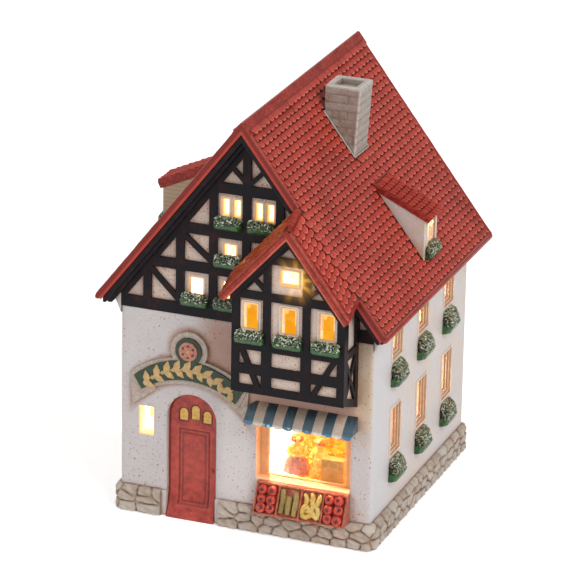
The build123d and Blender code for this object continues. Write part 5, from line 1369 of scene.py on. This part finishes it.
centre = moved(sign_x, sign_y, sign_ring_z) @ to_front
rosette.lathe([(4.4, 0), (4.35, 0.55), (3.9, 0.8), (3.4, 0.55), (0.02, 0.5)], centre, 0, None, 36)
for a in (pi / 3 * k for k in range(6)):
    spot = centre @ spun(a, "Z") @ moved(1.75, 0, 0.45)
    rosette.lathe([(1.15, 0), (1.05, 0.3), (0.7, 0.5), (0.02, 0.42)], spot, 0, None, 12, (0.08, 2))
    tip = centre @ spun(a + 0.52, "Z") @ moved(2.7, 0, 0.45)
    rosette.lathe([(0.6, 0), (0.5, 0.22), (0.02, 0.3)], tip, 1, None, 8)
rosette.lathe([(0.95, 0.5), (0.9, 0.85), (0.5, 1.1), (0.02, 1.15)], centre, 2, None, 12)
rosette.piece("sign_rosette", ["pink", "green", "tan"], "sign_pink", stands_for=("sign_roundel",), sharp=50)


# Shop figures
def figure(name, x, skirt_r, dress, node, slot, turned):
    """A plain standing figure with folded arms: skirt, bodice, head and bun."""
    shape = Shape()
    place = moved(x, inner_front_y + 9.4, shop_sill_z) @ spun(turned, "Z") @ Matrix.Diagonal((1.12, 1.12, 0.84, 1))
    head = place @ moved(0, -0.1, 17.8)
    skirt = [(skirt_r * k, z) for k, z in ((0.98, 0), (1, 0.5), (0.93, 3), (0.8, 6))] + [(2.5, 8.4), (2.35, 9)]
    shape.lathe(skirt, place, 0, None, 28, (0.06, 9))
    shape.lathe([(2.4, 8.6), (2.7, 10.4), (2.9, 12.4), (2.3, 14.2), (1.1, 15), (1, 16)], place, 1, None, 20)
    for s in (-1, 1):
        arm = [place @ Vector((s * a, b, c)) for a, b, c in (
            (2.6, 0, 13.4), (3.4, -1, 11.2), (2.6, -2.8, 9.6), (1, -3.6, 10))]
        shape.tube(arm, [0.95, 0.9, 0.75, 0.6], 1, (0.2, 0, 0), 10)
        hand = place @ moved(s * 0.8, -3.7, 10.1)
        shape.lathe([(0.02, -0.6), (0.5, -0.4), (0.62, 0), (0.45, 0.45), (0.02, 0.6)], hand, 2, None, 10)
        eye = head @ moved(s * 0.75, -1.9, 0.35) @ to_front
        shape.lathe([(0.22, -0.1), (0.18, 0.1), (0.02, 0.16)], eye, 3, None, 8)
    face = [(0.02, -2.3), (1, -2.05), (1.75, -1.2), (2.1, 0), (2, 1), (1.3, 2), (0.02, 2.4)]
    shape.lathe(face, head, 2, None, 20)
    nose = head @ moved(0, -2.05, -0.1) @ to_front
    shape.lathe([(0.32, -0.2), (0.25, 0.2), (0.02, 0.36)], nose, 2, None, 8)
    hair = [(2.3, -1.2), (2.55, -0.2), (2.5, 0.8), (1.9, 2.1), (0.9, 2.75), (0.02, 2.85)]
    shape.lathe(hair, head @ spun(-0.35, "X") @ moved(0, 0.45, 0.1), 3, None, 20, (0.04, 7))
    bun = [(0.02, -1.1), (0.9, -0.7), (1.1, 0), (0.9, 0.7), (0.02, 1.1)]
    shape.lathe(bun, head @ moved(0, 2.4, 0.9), 3, None, 14)
    shape.piece(name, [dress, "cream", "skin", "hair"], slot, stands_for=(node,), sharp=50)


figure("shopper", 19, 5.3, "rose", "customer_figure", "figure_pink", 0.35)
figure("shop_assistant", 30, 4.3, "cream", "shopkeeper_figure", "figure_yellow", -0.5)

# Stage and light
sky_level = 0.42
floor_mesh = bpy.data.meshes.new("floor")
floor_mesh.from_pydata([(-6, -6, 0), (6, -6, 0), (6, 6, 0), (-6, 6, 0)], [], [(0, 1, 2, 3)])
stage = bpy.data.objects.new("floor", floor_mesh)
scene.collection.objects.link(stage)
pale_floor = Mat("floor_pale", rough=0.8)
pale_floor.base(pale_floor.mix(pale_floor.noise(0.002, 2), "f4f4f4", "fafafa"))
seen = pale_floor.n("LightPath", out="Is Camera Ray")
shine = seen.most(seen.twin("Is Glossy Ray").most(seen.twin("Is Transmission Ray")))
pale_floor.emit((1, 1, 1, 1), shine * sky_level)
stage.data.materials.append(pale_floor.m)

world = bpy.data.worlds.new("studio")
scene.world = world
world.use_nodes = True
tree = world.node_tree
path, either, level = (tree.nodes.new("ShaderNode" + kind) for kind in ("LightPath", "Math", "MapRange"))
either.operation = "MAXIMUM"
ground = tree.nodes["Background"]
ground.inputs["Color"].default_value = (1, 1, 1, 1)
level.inputs["To Min"].default_value = sky_level
level.inputs["To Max"].default_value = 1
for output, socket in (
    (path.outputs["Is Camera Ray"], either.inputs[0]), (path.outputs["Is Transmission Ray"], either.inputs[1]),
    (either.outputs[0], level.inputs["Value"]), (level.outputs[0], ground.inputs["Strength"]),
):
    tree.links.new(output, socket)


def add_light(name, kind, power, at, **props):
    light = bpy.data.lights.new(name, kind)
    light.energy = power
    for key, value in props.items():
        setattr(light, key, value)
    obj = bpy.data.objects.new(name, light)
    scene.collection.objects.link(obj)
    obj.location = at
    return obj


for name, power, size, at, target in (
    ("key", 17, 0.8, (1.15, -0.75, 1.25), (0, 0, 0.09)), ("fill", 5, 0.9, (-1, -1.2, 0.7), (0, 0, 0.08)),
    ("rear", 6, 0.8, (-0.6, 1.2, 1), (0, 0, 0.1)),
):
    box = add_light(name, "AREA", power, at, shape="SQUARE", size=size)
    box.rotation_mode = "QUATERNION"
    box.rotation_quaternion = (Vector(target) - Vector(at)).to_track_quat("-Z", "Y")

# The room's light stays in the house; the bulb takes only a little with it
for name, power in (("room_light", 0.66), ("bulb_light", 0.02)):
    lamp = add_light(name, "POINT", power, (0, -0.024, 0.0975), color=(1, 0.66, 0.3), shadow_soft_size=0.006)
lamp.parent = frame["bodies"]["bulb"]
